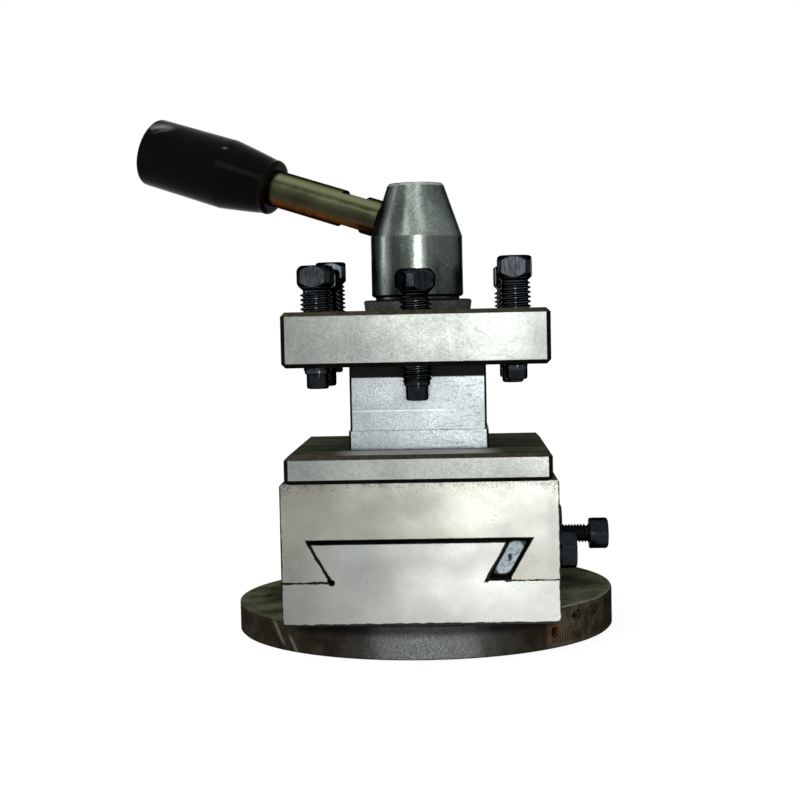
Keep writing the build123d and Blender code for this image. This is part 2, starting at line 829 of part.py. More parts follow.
# Grip that spins on the pin
with BuildPart() as crank_grip:
    grip_side = Plane(origin=(crank_x, 0, feed_z + crank_rise), x_dir=(0, 1, 0), z_dir=(1, 0, 0))
    with BuildSketch(grip_side):
        with BuildLine():
            Polyline(
                (grip_rear - grip_nose, grip_radius - grip_nose_drop / 3),
                (grip_rear, grip_radius - grip_nose_drop),
                (grip_rear, pin_radius + running_clearance),
                (grip_front, pin_radius + running_clearance),
                (grip_front, grip_waist - grip_edge),
                (grip_front + grip_edge, grip_waist),
            )
            Spline(
                (grip_front + grip_edge, grip_waist),
                (grip_front + 0.3 * grip_length, grip_waist + grip_swell),
                (grip_front + 0.7 * grip_length, grip_radius),
                (grip_rear - grip_nose, grip_radius - grip_nose_drop / 3),
            )
        make_face()
    revolve(axis=Axis((crank_x, 0, feed_z + crank_rise), (0, 1, 0)))
crank_grip.part.label = "crank_grip"
export_step(crank_grip.part, "parts/crank_grip.step")

# Tool post block: seat plate, core and top plate with a tool slot on every side
with BuildPart() as tool_post_block:
    with BuildSketch(Plane.XY.offset(post_bottom)):
        with Locations((0, post_y)):
            Rectangle(post_width, post_width)
    extrude(amount=seat_plate)
    with BuildSketch(Plane.XY.offset(slot_top)):
        with Locations((0, post_y)):
            Rectangle(post_width, post_width)
    extrude(amount=top_plate)
    chamfer(tool_post_block.edges(), length=post_edge)
    with BuildSketch(Plane.XY.offset(seat_z)) as core:
        with Locations((0, post_y)):
            Rectangle(core_width, core_width)
        chamfer(core.vertices(), length=core_edge)
    extrude(amount=slot_height)
    with BuildSketch(Plane.XY.offset(seat_z)) as foot:
        with Locations((0, post_y)):
            Rectangle(core_width + 2 * core_foot, core_width + 2 * core_foot)
        chamfer(foot.vertices(), length=core_edge)
    extrude(amount=core_foot_height)
    # Centre bore, and a tapped hole over the slots for each clamp screw
    with BuildSketch(Plane.XY.offset(post_bottom)):
        with Locations((0, post_y)):
            Circle(stud_shoulder_radius + running_clearance)
    extrude(amount=post_top - post_bottom, mode=Mode.SUBTRACT)
    with BuildSketch(Plane.XY.offset(slot_top)):
        with Locations(*screw_centres):
            Circle(screw_radius + thread_clearance)
    extrude(amount=top_plate, mode=Mode.SUBTRACT)
    rims = tool_post_block.edges().filter_by(GeomType.CIRCLE).group_by(Axis.Z)[-1]
    chamfer(rims, length=screw_hole_edge)
    # Four hollows in the underside for the index plunger
    with Locations(*detent_centres):
        Sphere(detent_ball, mode=Mode.SUBTRACT)
tool_post_block.part.label = "tool_post_block"
export_step(tool_post_block.part, "parts/tool_post_block.step")

# Clamp screws: square head, undercut, threaded body and dog point
for name, (step_x, step_y, length, rise, turn) in clamp_screws.items():
    head_top = post_top + rise
    head_bottom = head_top - screw_head_height
    tip = head_top - length
    spot = (step_x * screw_pitch, post_y + step_y * screw_pitch)
    with BuildPart() as clamp_screw:
        with BuildSketch(Plane.XY.offset(head_bottom)) as head_outline:
            with Locations(Location((spot[0], spot[1]), turn)):
                Rectangle(screw_flats, screw_flats)
            chamfer(head_outline.vertices(), length=screw_head_corner)
        extrude(amount=screw_head_height)
        # The head's corners are turned off above and below
        with BuildSketch(Plane(origin=(spot[0], spot[1], head_bottom), x_dir=(1, 0, 0), z_dir=(0, -1, 0))):
            with BuildLine():
                Polyline(
                    (0, 0),
                    (screw_flats / 2 + screw_corner_undercut, 0),
                    (screw_corner_radius, screw_corner_radius - screw_flats / 2 - screw_corner_undercut),
                    (screw_corner_radius, screw_head_height - screw_corner_drop),
                    (screw_flats / 2, screw_head_height),
                    (0, screw_head_height),
                    close=True,
                )
            make_face()
        revolve(axis=Axis((spot[0], spot[1], 0), (0, 0, 1)), mode=Mode.INTERSECT)
        with BuildSketch(Plane(origin=(spot[0], spot[1], 0), x_dir=(1, 0, 0), z_dir=(0, -1, 0))):
            with BuildLine():
                Polyline(
                    (0, head_bottom),
                    (screw_neck_radius, head_bottom),
                    (screw_neck_radius, head_bottom - screw_neck_length),
                    (screw_radius, head_bottom - screw_neck_length - screw_thread_runout),
                    (screw_radius, tip + screw_point_length + screw_thread_runout),
                    (screw_point_radius, tip + screw_point_length),
                    (screw_point_radius, tip + screw_point_edge),
                    (screw_point_radius - screw_point_edge, tip),
                    (0, tip),
                    close=True,
                )
            make_face()
        revolve(axis=Axis((spot[0], spot[1], 0), (0, 0, 1)))
    clamp_screw.part.label = f"clamp_screw_{name}"
    export_step(clamp_screw.part, f"parts/clamp_screw_{name}.step")

# Centre stud, fixed in the slide, with the shoulder that the post turns on
with BuildPart() as centre_stud:
    shoulder_top = post_top - stud_shoulder_below_top
    stud_top = post_top + stud_top_above_post
    with BuildSketch(post_plane):
        with BuildLine():
            Polyline(
                (0, slide_top - stud_root_depth),
                (stud_root_radius, slide_top - stud_root_depth),
                (stud_root_radius, slide_top),
                (stud_shoulder_radius, slide_top),
                (stud_shoulder_radius, shoulder_top - stud_edge),
                (stud_shoulder_radius - stud_edge, shoulder_top),
                (stud_thread_radius, shoulder_top),
                (stud_thread_radius, stud_top - stud_edge),
                (stud_thread_radius - stud_edge, stud_top),
                (0, stud_top),
                close=True,
            )
        make_face()
    revolve(axis=post_axis)
centre_stud.part.label = "centre_stud"
export_step(centre_stud.part, "parts/centre_stud.step")

# Washer under the clamp nut, a little wider at the top
with BuildPart() as post_washer:
    with BuildSketch(post_plane):
        with BuildLine():
            Polyline(
                (stud_thread_radius + washer_bore_clearance, post_top),
                (washer_radius, post_top),
                (washer_top_radius, washer_top - washer_edge),
                (washer_top_radius - washer_edge, washer_top),
                (stud_thread_radius + washer_bore_clearance, washer_top),
                close=True,
            )
        make_face()
    revolve(axis=post_axis)
post_washer.part.label = "post_washer"
export_step(post_washer.part, "parts/post_washer.step")

# Clamp nut: short neck, straight body and cone, with a seat for the lever
with BuildPart() as clamp_nut:
    nut_shoulder = nut_bottom + nut_neck_height
    cone_bottom = nut_shoulder + nut_straight
    nut_top = cone_bottom + nut_cone
    bore_radius = stud_thread_radius + thread_clearance
    bore_top = stud_top + nut_bore_spare
    with BuildSketch(post_plane):
        with BuildLine():
            Polyline(
                (bore_radius, nut_bottom),
                (nut_neck_radius, nut_bottom),
                (nut_neck_radius, nut_shoulder),
                (nut_radius - nut_edge, nut_shoulder),
                (nut_radius, nut_shoulder + nut_edge),
                (nut_radius, cone_bottom),
                (nut_top_radius, nut_top - nut_edge),
                (nut_top_radius - nut_edge, nut_top),
                (0, nut_top),
                (0, bore_top + nut_bore_cone),
                (bore_radius, bore_top),
                close=True,
            )
        make_face()
    revolve(axis=post_axis)
    with BuildSketch(lever_cross.offset(lever_seat)):
        Circle(rod_radius + lever_seat_clearance)
    extrude(amount=nut_radius, mode=Mode.SUBTRACT)
    with BuildSketch(lever_cross.offset(lever_seat)):
        Circle(rod_spigot_radius)
    extrude(amount=-rod_spigot_depth, mode=Mode.SUBTRACT)
clamp_nut.part.label = "clamp_nut"
export_step(clamp_nut.part, "parts/clamp_nut.step")

# Lever rod: threaded ends, round bar and two spanner flats
with BuildPart() as lever_rod:
    with BuildSketch(lever_plane):
        with BuildLine():
            Polyline(
                (lever_seat - rod_spigot_depth, 0),
                (lever_seat - rod_spigot_depth, rod_spigot_radius),
                (lever_seat, rod_spigot_radius),
                (lever_seat, rod_radius - rod_edge),
                (lever_seat + rod_edge, rod_radius),
                (rod_end - rod_edge, rod_radius),
                (rod_end, rod_radius - rod_edge),
                (rod_end, knob_thread_radius),
                (rod_end + knob_thread_depth - knob_thread_spare, knob_thread_radius),
                (rod_end + knob_thread_depth - knob_thread_spare, 0),
                close=True,
            )
        make_face()
    revolve(axis=lever_axis)
    with BuildSketch(lever_cross.offset(rod_flats_start)):
        Circle(rod_radius + rod_flats_spare)
        Rectangle(2 * (rod_radius + rod_flats_spare), rod_flats, mode=Mode.SUBTRACT)
    extrude(amount=rod_flats_length, mode=Mode.SUBTRACT)
lever_rod.part.label = "lever_rod"
export_step(lever_rod.part, "parts/lever_rod.step")

# Knob: rounded neck over the rod's end, taper and long barrel
with BuildPart() as lever_knob:
    knob_end = knob_start + knob_length
    with BuildSketch(lever_plane):
        with BuildLine():
            Polyline(
                (knob_end, 0),
                (rod_end + knob_thread_depth, 0),
                (rod_end + knob_thread_depth, knob_thread_radius),
                (rod_end, knob_thread_radius),
                (rod_end, rod_radius),
                (knob_start, rod_radius),
                (knob_start, knob_lip_radius - knob_lip_edge),
            )
            ThreePointArc(
                (knob_start, knob_lip_radius - knob_lip_edge),
                (knob_start + knob_lip / 2, knob_lip_radius),
                (knob_start + knob_lip, knob_neck_radius),
            )
            Spline(
                (knob_start + knob_lip, knob_neck_radius),
                (knob_start + knob_lip + knob_taper / 2, (knob_neck_radius + knob_radius) / 2 + knob_swell),
                (knob_start + knob_lip + knob_taper, knob_radius),
            )
            Line(
                (knob_start + knob_lip + knob_taper, knob_radius),
                (knob_end - knob_dome, knob_end_radius),
            )
            Spline(
                (knob_end - knob_dome, knob_end_radius),
                (knob_end - knob_dome / 3, knob_end_radius - knob_dome / 2),
                (knob_end, 0),
                tangents=[(1, -0.05), (0, -1)],
            )
        make_face()
    revolve(axis=lever_axis)
lever_knob.part.label = "lever_knob"
export_step(lever_knob.part, "parts/lever_knob.step")

# Index plunger with a domed top, and the spring that lifts it
plunger_bottom = post_bottom - seat_gap - plunger_length
with BuildPart() as index_plunger:
    with BuildSketch(Plane.XY.offset(plunger_bottom)):
        with Locations(plunger_place):
            Circle(plunger_radius)
    extrude(amount=plunger_length)
    fillet(index_plunger.edges().group_by(Axis.Z)[-1], radius=plunger_dome)
index_plunger.part.label = "index_plunger"
export_step(index_plunger.part, "parts/index_plunger.step")

with BuildPart() as index_spring:
    spring_bottom = slide_top - plunger_bore_depth
    with BuildSketch(Plane.XY.offset(spring_bottom)):
        with Locations(plunger_place):
            Circle(spring_radius)
            Circle(spring_radius - spring_wall, mode=Mode.SUBTRACT)
    extrude(amount=plunger_bottom - spring_gap - spring_bottom)
index_spring.part.label = "index_spring"
export_step(index_spring.part, "parts/index_spring.step")
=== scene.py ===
"""Threads, graduations, finishes and studio for a four-way square tool post on its top slide.

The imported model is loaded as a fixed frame. Lengths are in metres, X is across the slide,
Y is along it towards the crank, and Z is up.
"""

from math import cos, pi, radians, sin, sqrt, tau

import bmesh
import bpy
from bpy.props import FloatProperty, FloatVectorProperty, IntProperty, PointerProperty
from mathutils import Matrix, Vector


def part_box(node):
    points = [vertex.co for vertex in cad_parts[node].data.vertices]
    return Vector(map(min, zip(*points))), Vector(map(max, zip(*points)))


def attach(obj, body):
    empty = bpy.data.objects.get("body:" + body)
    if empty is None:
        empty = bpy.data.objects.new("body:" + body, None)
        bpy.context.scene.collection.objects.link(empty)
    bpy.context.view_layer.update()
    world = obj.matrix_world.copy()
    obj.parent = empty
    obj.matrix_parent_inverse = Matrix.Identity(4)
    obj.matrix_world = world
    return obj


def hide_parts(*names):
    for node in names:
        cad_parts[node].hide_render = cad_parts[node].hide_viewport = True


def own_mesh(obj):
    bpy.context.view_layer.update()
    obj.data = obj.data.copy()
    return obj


bl_info = {
    "name": "Square Tool Post",
    "version": (1, 0, 0),
    "blender": (4, 5, 0),
    "location": "3D Viewport > Sidebar > Tool Post",
    "description": "Adds threads, graduations, finishes and a studio to a square tool post",
    "category": "Object",
}

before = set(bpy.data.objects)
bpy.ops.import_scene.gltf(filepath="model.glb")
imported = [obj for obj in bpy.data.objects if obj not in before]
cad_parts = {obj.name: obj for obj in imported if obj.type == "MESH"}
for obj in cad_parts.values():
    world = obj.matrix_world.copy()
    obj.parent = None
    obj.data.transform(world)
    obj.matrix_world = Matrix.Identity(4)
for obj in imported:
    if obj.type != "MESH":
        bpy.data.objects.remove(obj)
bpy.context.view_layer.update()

CLAMP_SCREWS = (
    "front_left",
    "front_mid",
    "front_right",
    "mid_left",
    "mid_right",
    "rear_left",
    "rear_mid",
    "rear_right",
)
# How far each square head is turned, in degrees
HEAD_TURNS = (-8, 32, -6, 6, 2, 5, 30, 0)

# The dovetail's height and the feet of its two flanks
DOVETAIL_HEIGHT = 0.0144
DOVETAIL_LEFT = -0.0336
DOVETAIL_RIGHT = 0.0248
# Where the joint below the slide starts again, right of the gib
JOINT_RIGHT = 0.0315

# Half width of the slide and base, and the height of the base block's lower edge
SLIDE_HALF = 0.0526
BLOCK_FOOT = 0.0135

# Heights of the post's seat plate and top plate, and on its core those of the foot and of the
# line between two milling passes
SEAT_PLATE = 0.0107
TOP_PLATE = 0.0208
FOOT = 0.0074
CORE_PASS = 0.0150

# Top of the clamp screws' points
POINT_TOP = 0.109

# Clamp nut: where its cone starts, and its top
NUT_SHOULDER = 0.161
NUT_TOP = 0.1822

# The swivel base is its disc below one height, and its raised segment below another, right of
# a line
DISC_BELOW = 0.0134
SEGMENT_BELOW = 0.0163
SEGMENT_FROM = 0.0475

# Painted highlights and painted shade in soft spots on the front faces: x, z, half width, half
# height and gain
POST_LIGHT_AND_SHADE = (
    (0.030, 0.120, 0.014, 0.009, 0.06),
    (0.047, 0.121, 0.006, 0.010, -0.12),
    (-0.014, 0.118, 0.012, 0.006, -0.10),
    (0.010, 0.127, 0.010, 0.004, -0.12),
    (0.012, 0.094, 0.010, 0.006, 0.14),
    (0.020, 0.084, 0.008, 0.004, 0.16),
)
SLIDE_LIGHT_AND_SHADE = (
    (0.020, 0.054, 0.014, 0.010, 0.34),
    (0.040, 0.052, 0.009, 0.012, 0.10),
    (0.0505, 0.050, 0.003, 0.016, -0.14),
    (-0.040, 0.063, 0.014, 0.006, -0.10),
    (-0.004, 0.060, 0.018, 0.008, -0.20),
    (-0.047, 0.036, 0.006, 0.010, -0.10),
)
BASE_LIGHT_AND_SHADE = (
    (-0.002, 0.028, 0.012, 0.010, 0.20),
    (0.030, 0.026, 0.022, 0.010, 0.16),
    (-0.014, 0.034, 0.016, 0.010, -0.20),
    (0.018, 0.036, 0.008, 0.005, -0.08),
)

# Where the front faces go from painted shade to painted light, from left to right
SHADED_TO_LIT = (-0.060, 0.034)

# Painted reflections in bands on the clamp nut: bearing and half width in degrees, gain, share of
# it on the cone
NUT_PAINTED_REFLECTIONS = (
    (-87, 14, 4.4, 0.45),
    (-86, 36, 1.1, 0.8),
    (-132, 14, 1.8, 0.0),
    (-101, 9, 0.4, 1.0),
    (-60, 40, 0.1, 3.0),
)

# Painted highlights on the knob: place, radius and strength
KNOB_PAINTED_HIGHLIGHTS = (
    ((-0.1065, -0.0066, 0.2104), 0.0042, 0.8),
    ((-0.0781, -0.0181, 0.2001), 0.0009, 0.8),
)

# Hole in the disc's rim, and scratches on it as bearing in degrees, half width in radians, foot
# and tip, with the radians that they lean for each metre up
RIM_HOLE = (0.05123, -0.05935, 0.0064)
RIM_STROKES = ((-136.0, 0.012, 0.0026, 0.0108), (-131.5, 0.010, 0.0004, 0.0060))
STROKE_LEAN = 8.5

# Numerals: font size for a height, and how much bolder they are, as shares of the height
FONT_SHARE = 1.38
FONT_BOLDNESS = 0.025

# Thickness of the lines and numerals, height of the dial's numerals, and the dial's radius
ENGRAVED = 0.0002
DIAL_NUMERAL = 0.0022
DIAL_RADIUS = 0.026

# Knurled ring on the dial's hub: radius in its grooves and on its ridges, and width
KNURL_GROOVE = 0.0189
KNURL_RIDGE = 0.0195
KNURL_WIDTH = 0.0036

# Points nearer than this are merged
MERGED = 1e-6

# Steps to a turn of thread, how far its foot is sunk in the shank, and half the foot's width in
# pitches
THREAD_STEPS = 32
THREAD_SUNK = 0.0001
THREAD_FOOT = 0.44

# Usual ranges of slow and of fine noise
CLOUD_RANGE = (0.3, 0.7)
GRIT_RANGE = (0.34, 0.66)

# Tones that no setting changes
# Black of the oil and of the painted shade on the iron
IRON_OIL_AND_SHADE = (0.012, 0.012, 0.008)
WASHER_BLACK = (0.085, 0.092, 0.090)
STUD_STEEL = (0.35, 0.35, 0.34)
FEED_STEEL = (0.32, 0.32, 0.31)
SATIN_CHROME = (0.52, 0.53, 0.54)
SPRING_STEEL = (0.3, 0.3, 0.29)

# Camera at the photograph's place: its position, and its turns in radians
CAMERA_PLACE = (0.01554, -0.68031, 0.13109)
CAMERA_YAW = -0.03636
CAMERA_PITCH = 0.05384
CAMERA_ROLL = -0.0208
SENSOR_WIDTH = 36
NEAREST_SEEN = 0.01

# Floor: half its width, its brightness where it is seen, and its share of reflected light
FLOOR_REACH = 6
FLOOR_SEEN = 0.86
FLOOR_SHADE = 0.42

# Point that the lamps face
LAMP_TARGET = (0, -0.04, 0.08)


# Sizes and colours that a user would change


class ClampScrewSizes(bpy.types.PropertyGroup):
    """Sizes of the square-headed clamp screws."""

    pitch: FloatProperty(
        name="Pitch", description="Pitch of the thread", default=0.00175, unit="LENGTH"
    )
    thread_depth: FloatProperty(
        name="Thread depth", description="Depth of the thread", default=0.00107, unit="LENGTH"
    )
    across_flats: FloatProperty(
        name="Across flats", description="Width of the square head", default=0.0126, unit="LENGTH"
    )
    head_height: FloatProperty(
        name="Head height", description="Height of the square head", default=0.0084, unit="LENGTH"
    )
    head_corner: FloatProperty(
        name="Head corner",
        description="Distance from the axis to a blunt corner",
        default=0.00757,
        unit="LENGTH",
    )
    head_blank: FloatProperty(
        name="Head blank",
        description="Radius of the bar the head is cut from",
        default=0.0079,
        unit="LENGTH",
    )
    run_out: FloatProperty(
        name="Run-out",
        description="Length over which the thread fades at the point",
        default=0.003,
        unit="LENGTH",
    )
    neck_radius: FloatProperty(
        name="Neck radius",
        description="Radius of the neck below the head",
        default=0.0049,
        unit="LENGTH",
    )
    neck_length: FloatProperty(
        name="Neck length",
        description="Length of the neck below the head",
        default=0.0012,
        unit="LENGTH",
    )
    shank_radius: FloatProperty(
        name="Shank radius", description="Radius over the thread", default=0.006, unit="LENGTH"
    )
    point_radius: FloatProperty(
        name="Point radius", description="Radius of the dog point", default=0.00425, unit="LENGTH"
    )
    point_length: FloatProperty(
        name="Point length", description="Length of the dog point", default=0.0058, unit="LENGTH"
    )


class SideScrewSizes(bpy.types.PropertyGroup):
    """Sizes of the locking screw and of the locking nuts on the gib screws."""

    pitch: FloatProperty(
        name="Pitch", description="Pitch of the locking screw", default=0.00125, unit="LENGTH"
    )
    thread_depth: FloatProperty(
        name="Thread depth",
        description="Depth of the locking screw's thread",
        default=0.00072,
        unit="LENGTH",
    )
    plain_shank: FloatProperty(
        name="Plain shank",
        description="Plain length under the socket head",
        default=0.0008,
        unit="LENGTH",
    )
    socket: FloatProperty(
        name="Socket", description="Width of the hexagon socket", default=0.006, unit="LENGTH"
    )
    nut_flats: FloatProperty(
        name="Nut flats",
        description="Width of the locking nuts across flats",
        default=0.013,
        unit="LENGTH",
    )
    nut_bore: FloatProperty(
        name="Nut bore",
        description="Radius of the locking nuts' bore",
        default=0.00405,
        unit="LENGTH",
    )
    face_radius: FloatProperty(
        name="Face radius",
        description="Radius of the locking nuts' washer face",
        default=0.0064,
        unit="LENGTH",
    )
    face_height: FloatProperty(
        name="Face height",
        description="Height of the locking nuts' washer face",
        default=0.0016,
        unit="LENGTH",
    )
    nut_turn: FloatProperty(
        name="Nut turn",
        description="Turn of the locking nuts",
        default=radians(12),
        subtype="ANGLE",
    )


class GraduationSizes(bpy.types.PropertyGroup):
    """Sizes of the engraved lines and numerals on the swivel base and the feed dial."""

    line_width: FloatProperty(
        name="Line width", description="Width of a line", default=0.0004, unit="LENGTH"
    )
    short_line: FloatProperty(
        name="Short line", description="Length of a one-degree line", default=0.0034, unit="LENGTH"
    )
    long_line: FloatProperty(
        name="Long line", description="Length of a ten-degree line", default=0.0064, unit="LENGTH"
    )
    numeral_height: FloatProperty(
        name="Numeral height", description="Height of the numerals", default=0.004, unit="LENGTH"
    )
    line_foot: FloatProperty(
        name="Line foot",
        description="Height at which the lines start",
        default=0.002,
        unit="LENGTH",
    )
    numeral_foot: FloatProperty(
        name="Numeral foot",
        description="Height of the numerals' baseline",
        default=0.0095,
        unit="LENGTH",
    )
    last_degree: IntProperty(
        name="Last degree", description="Degrees marked to each side", default=50
    )
    dial_divisions: IntProperty(
        name="Dial divisions", description="Divisions round the feed dial", default=60
    )


class FeedSizes(bpy.types.PropertyGroup):
    """Sizes of the feed screw's thread and of the knurling."""

    pitch: FloatProperty(
        name="Pitch", description="Pitch of the feed screw", default=0.003, unit="LENGTH"
    )
    root_radius: FloatProperty(
        name="Root radius",
        description="Radius in the thread's root",
        default=0.0045,
        unit="LENGTH",
    )
    knurls: IntProperty(
        name="Knurls", description="Ridges round the dial's hub", default=72
    )


class FinishColours(bpy.types.PropertyGroup):
    """Colours of the finishes."""

    slide_iron: FloatVectorProperty(
        name="Slide iron",
        description="Ground iron of the slide and base",
        default=(0.42, 0.42, 0.385),
        subtype="COLOR",
    )
    plate_steel: FloatVectorProperty(
        name="Plate steel",
        description="Ground steel of the post",
        default=(0.225, 0.239, 0.225),
        subtype="COLOR",
    )
    core_steel: FloatVectorProperty(
        name="Core steel",
        description="Milled steel of the post's core",
        default=(0.31, 0.342, 0.352),
        subtype="COLOR",
    )
    gib_steel: FloatVectorProperty(
        name="Gib steel",
        description="Ground steel of the gib",
        default=(0.23, 0.27, 0.29),
        subtype="COLOR",
    )
    bronze: FloatVectorProperty(
        name="Bronze",
        description="Bronze of the feed nut",
        default=(0.50, 0.30, 0.12),
        subtype="COLOR",
    )
    black_oxide: FloatVectorProperty(
        name="Black oxide",
        description="Blackened screws",
        default=(0.015, 0.0175, 0.0195),
        subtype="COLOR",
    )
    passivate: FloatVectorProperty(
        name="Passivate",
        description="Yellow passivated rod",
        default=(0.050, 0.052, 0.028),
        subtype="COLOR",
    )
    turned_steel: FloatVectorProperty(
        name="Turned steel",
        description="Turned clamp nut",
        default=(0.041, 0.049, 0.044),
        subtype="COLOR",
    )
    phenolic: FloatVectorProperty(
        name="Phenolic",
        description="Black moulded knob",
        default=(0.0045, 0.004, 0.0035),
        subtype="COLOR",
    )
    floor: FloatVectorProperty(
        name="Floor",
        description="Floor of the studio",
        default=(0.86, 0.86, 0.85),
        subtype="COLOR",
    )


class StudioSettings(bpy.types.PropertyGroup):
    """Camera and lamps of the studio."""

    lens: FloatProperty(name="Lens", description="Focal length in millimetres", default=72.57)
    key_power: FloatProperty(
        name="Key power",
        description="Power of the lamp near the camera",
        default=1.3,
        unit="POWER",
    )
    low_power: FloatProperty(
        name="Low power",
        description="Power of the lamp low at the right",
        default=0.11,
        unit="POWER",
    )
    side_power: FloatProperty(
        name="Side power",
        description="Power of the strip lamp at the left",
        default=0.57,
        unit="POWER",
    )
    fill_power: FloatProperty(
        name="Fill power", description="Power of the lamp above", default=2.0, unit="POWER"
    )
    surround: FloatProperty(
        name="Surround", description="Strength of the pale surround on matt surfaces", default=0.45
    )


class ToolPostSettings(bpy.types.PropertyGroup):
    """All settings of the tool post."""

    clamp_screws: PointerProperty(type=ClampScrewSizes)
    side_screws: PointerProperty(type=SideScrewSizes)
    graduations: PointerProperty(type=GraduationSizes)
    feed: PointerProperty(type=FeedSizes)
    colours: PointerProperty(type=FinishColours)
    studio: PointerProperty(type=StudioSettings)


# Shapes


def turn(bm, outline, steps=72):
    """Turn an outline of (radius, height) points about the Z axis."""
    points = [bm.verts.new((radius, 0, height)) for radius, height in outline]
    lines = [bm.edges.new(pair) for pair in zip(points, points[1:])]
    bmesh.ops.spin(
        bm,
        geom=points + lines,
        cent=(0, 0, 0),
        axis=(0, 0, 1),
        angle=tau,
        steps=steps,
        use_merge=True,
    )
    bmesh.ops.remove_doubles(bm, verts=bm.verts, dist=MERGED)


def wind_thread(bm, root, crest, pitch, bottom, top, crest_share=0.13, lead=1.0):
    """Wind a thread about the Z axis from one height to another, run out at both ends.

    The lead is how steeply it rises from the lower end.
    """
    foot = root - THREAD_SUNK
    section = (
        (foot, bottom - THREAD_FOOT * pitch),
        (crest, bottom - 0.5 * crest_share * pitch),
        (crest, bottom + 0.5 * crest_share * pitch),
        (foot, bottom + THREAD_FOOT * pitch),
    )
    ridge = bm.faces.new([bm.verts.new((radius, 0, height)) for radius, height in section])
    old = set(bm.verts) - set(ridge.verts)
    turns = (top - bottom) / pitch
    count = max(round(THREAD_STEPS * turns), 8)
    bmesh.ops.spin(
        bm,
        geom=[ridge],
        cent=(0, 0, 0),
        axis=(0, 0, 1),
        dvec=(0, 0, (top - bottom) / count),
        angle=tau * turns,
        steps=count,
    )
    for vert in set(bm.verts) - old:
        radius = vert.co.xy.length
        rise = min(lead * (vert.co.z - bottom + 0.3 * pitch), top - vert.co.z + 0.3 * pitch)
        limit = foot + max(0, rise)
        if radius > limit:
            vert.co.x *= limit / radius
            vert.co.y *= limit / radius


def mill_flats(bm, count, distance, start=0.0):
    """Mill flats round the Z axis at a distance from it."""
    for number in range(count):
        bearing = start + tau * number / count
        outward = Vector((cos(bearing), sin(bearing), 0))
        bmesh.ops.bisect_plane(
            bm,
            geom=[*bm.verts, *bm.edges, *bm.faces],
            plane_co=outward * distance,
            plane_no=outward,
            clear_outer=True,
        )
        bmesh.ops.holes_fill(bm, edges=[edge for edge in bm.edges if edge.is_boundary])


def soften(bm, width):
    """Round every edge that turns by more than 35 degrees."""
    edges = [edge for edge in bm.edges if edge.is_manifold]
    edges = [edge for edge in edges if edge.calc_face_angle(0) > radians(35)]
    bmesh.ops.bevel(
        bm,
        geom=edges,
        offset=width,
        segments=2,
        profile=0.5,
        affect="EDGES",
        clamp_overlap=True,
        material=-1,
    )


def sink_hexagon(bm, flats, depth, top):
    """Sink a hexagon socket in the round opening that a turned head leaves at its top."""
    rim = [edge for edge in bm.edges if edge.is_boundary and edge.verts[0].co.z > top - 1e-5]
    hexagon = bmesh.ops.create_circle(
        bm, segments=6, radius=flats / sqrt(3), matrix=Matrix.Translation((0, 0, top))
    )
    sides = list({edge for vert in hexagon["verts"] for edge in vert.link_edges})
    bmesh.ops.subdivide_edges(bm, edges=sides, cuts=len(rim) // 6 - 1)
    sides = [edge for edge in bm.edges if edge.is_wire]
    bmesh.ops.bridge_loops(bm, edges=rim + sides)
    walls = bmesh.ops.extrude_edge_only(bm, edges=sides)
    floor = [item for item in walls["geom"] if isinstance(item, bmesh.types.BMVert)]
    bmesh.ops.translate(bm, verts=floor, vec=(0, 0, -depth))
    rim = [edge for edge in bm.edges if edge.is_boundary and edge.verts[0] in floor]
    bmesh.ops.contextual_create(bm, geom=rim)


def numeral_mesh(text, height, thickness):
    """A numeral as a flat mesh, centred on its foot."""
    font = bpy.data.curves.new("numeral", "FONT")
    font.body = text
    font.align_x = "CENTER"
    font.size = FONT_SHARE * height
    font.extrude = thickness / 2
    font.offset = FONT_BOLDNESS * height
    shape = bpy.data.objects.new("numeral", font)
    mesh = bpy.data.meshes.new_from_object(shape)
    bpy.data.objects.remove(shape)
    bpy.data.curves.remove(font)
    return mesh


def aimed(axis, place):
    """Matrix that turns the Z axis to another direction and moves the origin to a place."""
    turn_to = Vector(axis).to_track_quat("Z", "Y").to_matrix().to_4x4()
    return Matrix.Translation(place) @ turn_to


def seat(bm, name, body, finish, nodes=(), placing=None, smooth=radians(32), other=None):
    """Weld a new piece, turn its faces outwards, put it in place and fix it to its body.

    Faces with a material index of 1 get the other finish.
    """
    if placing is not None:
        bmesh.ops.transform(bm, matrix=placing, verts=bm.verts)
    bmesh.ops.remove_doubles(bm, verts=bm.verts, dist=MERGED)
    bmesh.ops.recalc_face_normals(bm, faces=bm.faces)
    mesh = bpy.data.meshes.new(name)
    bm.to_mesh(mesh)
    bm.free()
    if not mesh.polygons:
        raise RuntimeError(f"{name} came out empty")
    mesh.shade_smooth()
    mesh.set_sharp_from_angle(angle=smooth)
    mesh.materials.append(finish)
    if other is not None:
        mesh.materials.append(other)
    piece = bpy.data.objects.new(name, mesh)
    bpy.context.scene.collection.objects.link(piece)
    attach(piece, body)
    if nodes:
        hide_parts(*nodes)
    return piece


def middle(node):
    """Centre of a CAD node's box."""
    low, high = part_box(node)
    return (low + high) / 2


def dress(finish, *nodes):
    """Give CAD nodes a finish."""
    for node in nodes:
        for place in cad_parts[node].material_slots:
            place.material = finish


# Finishes


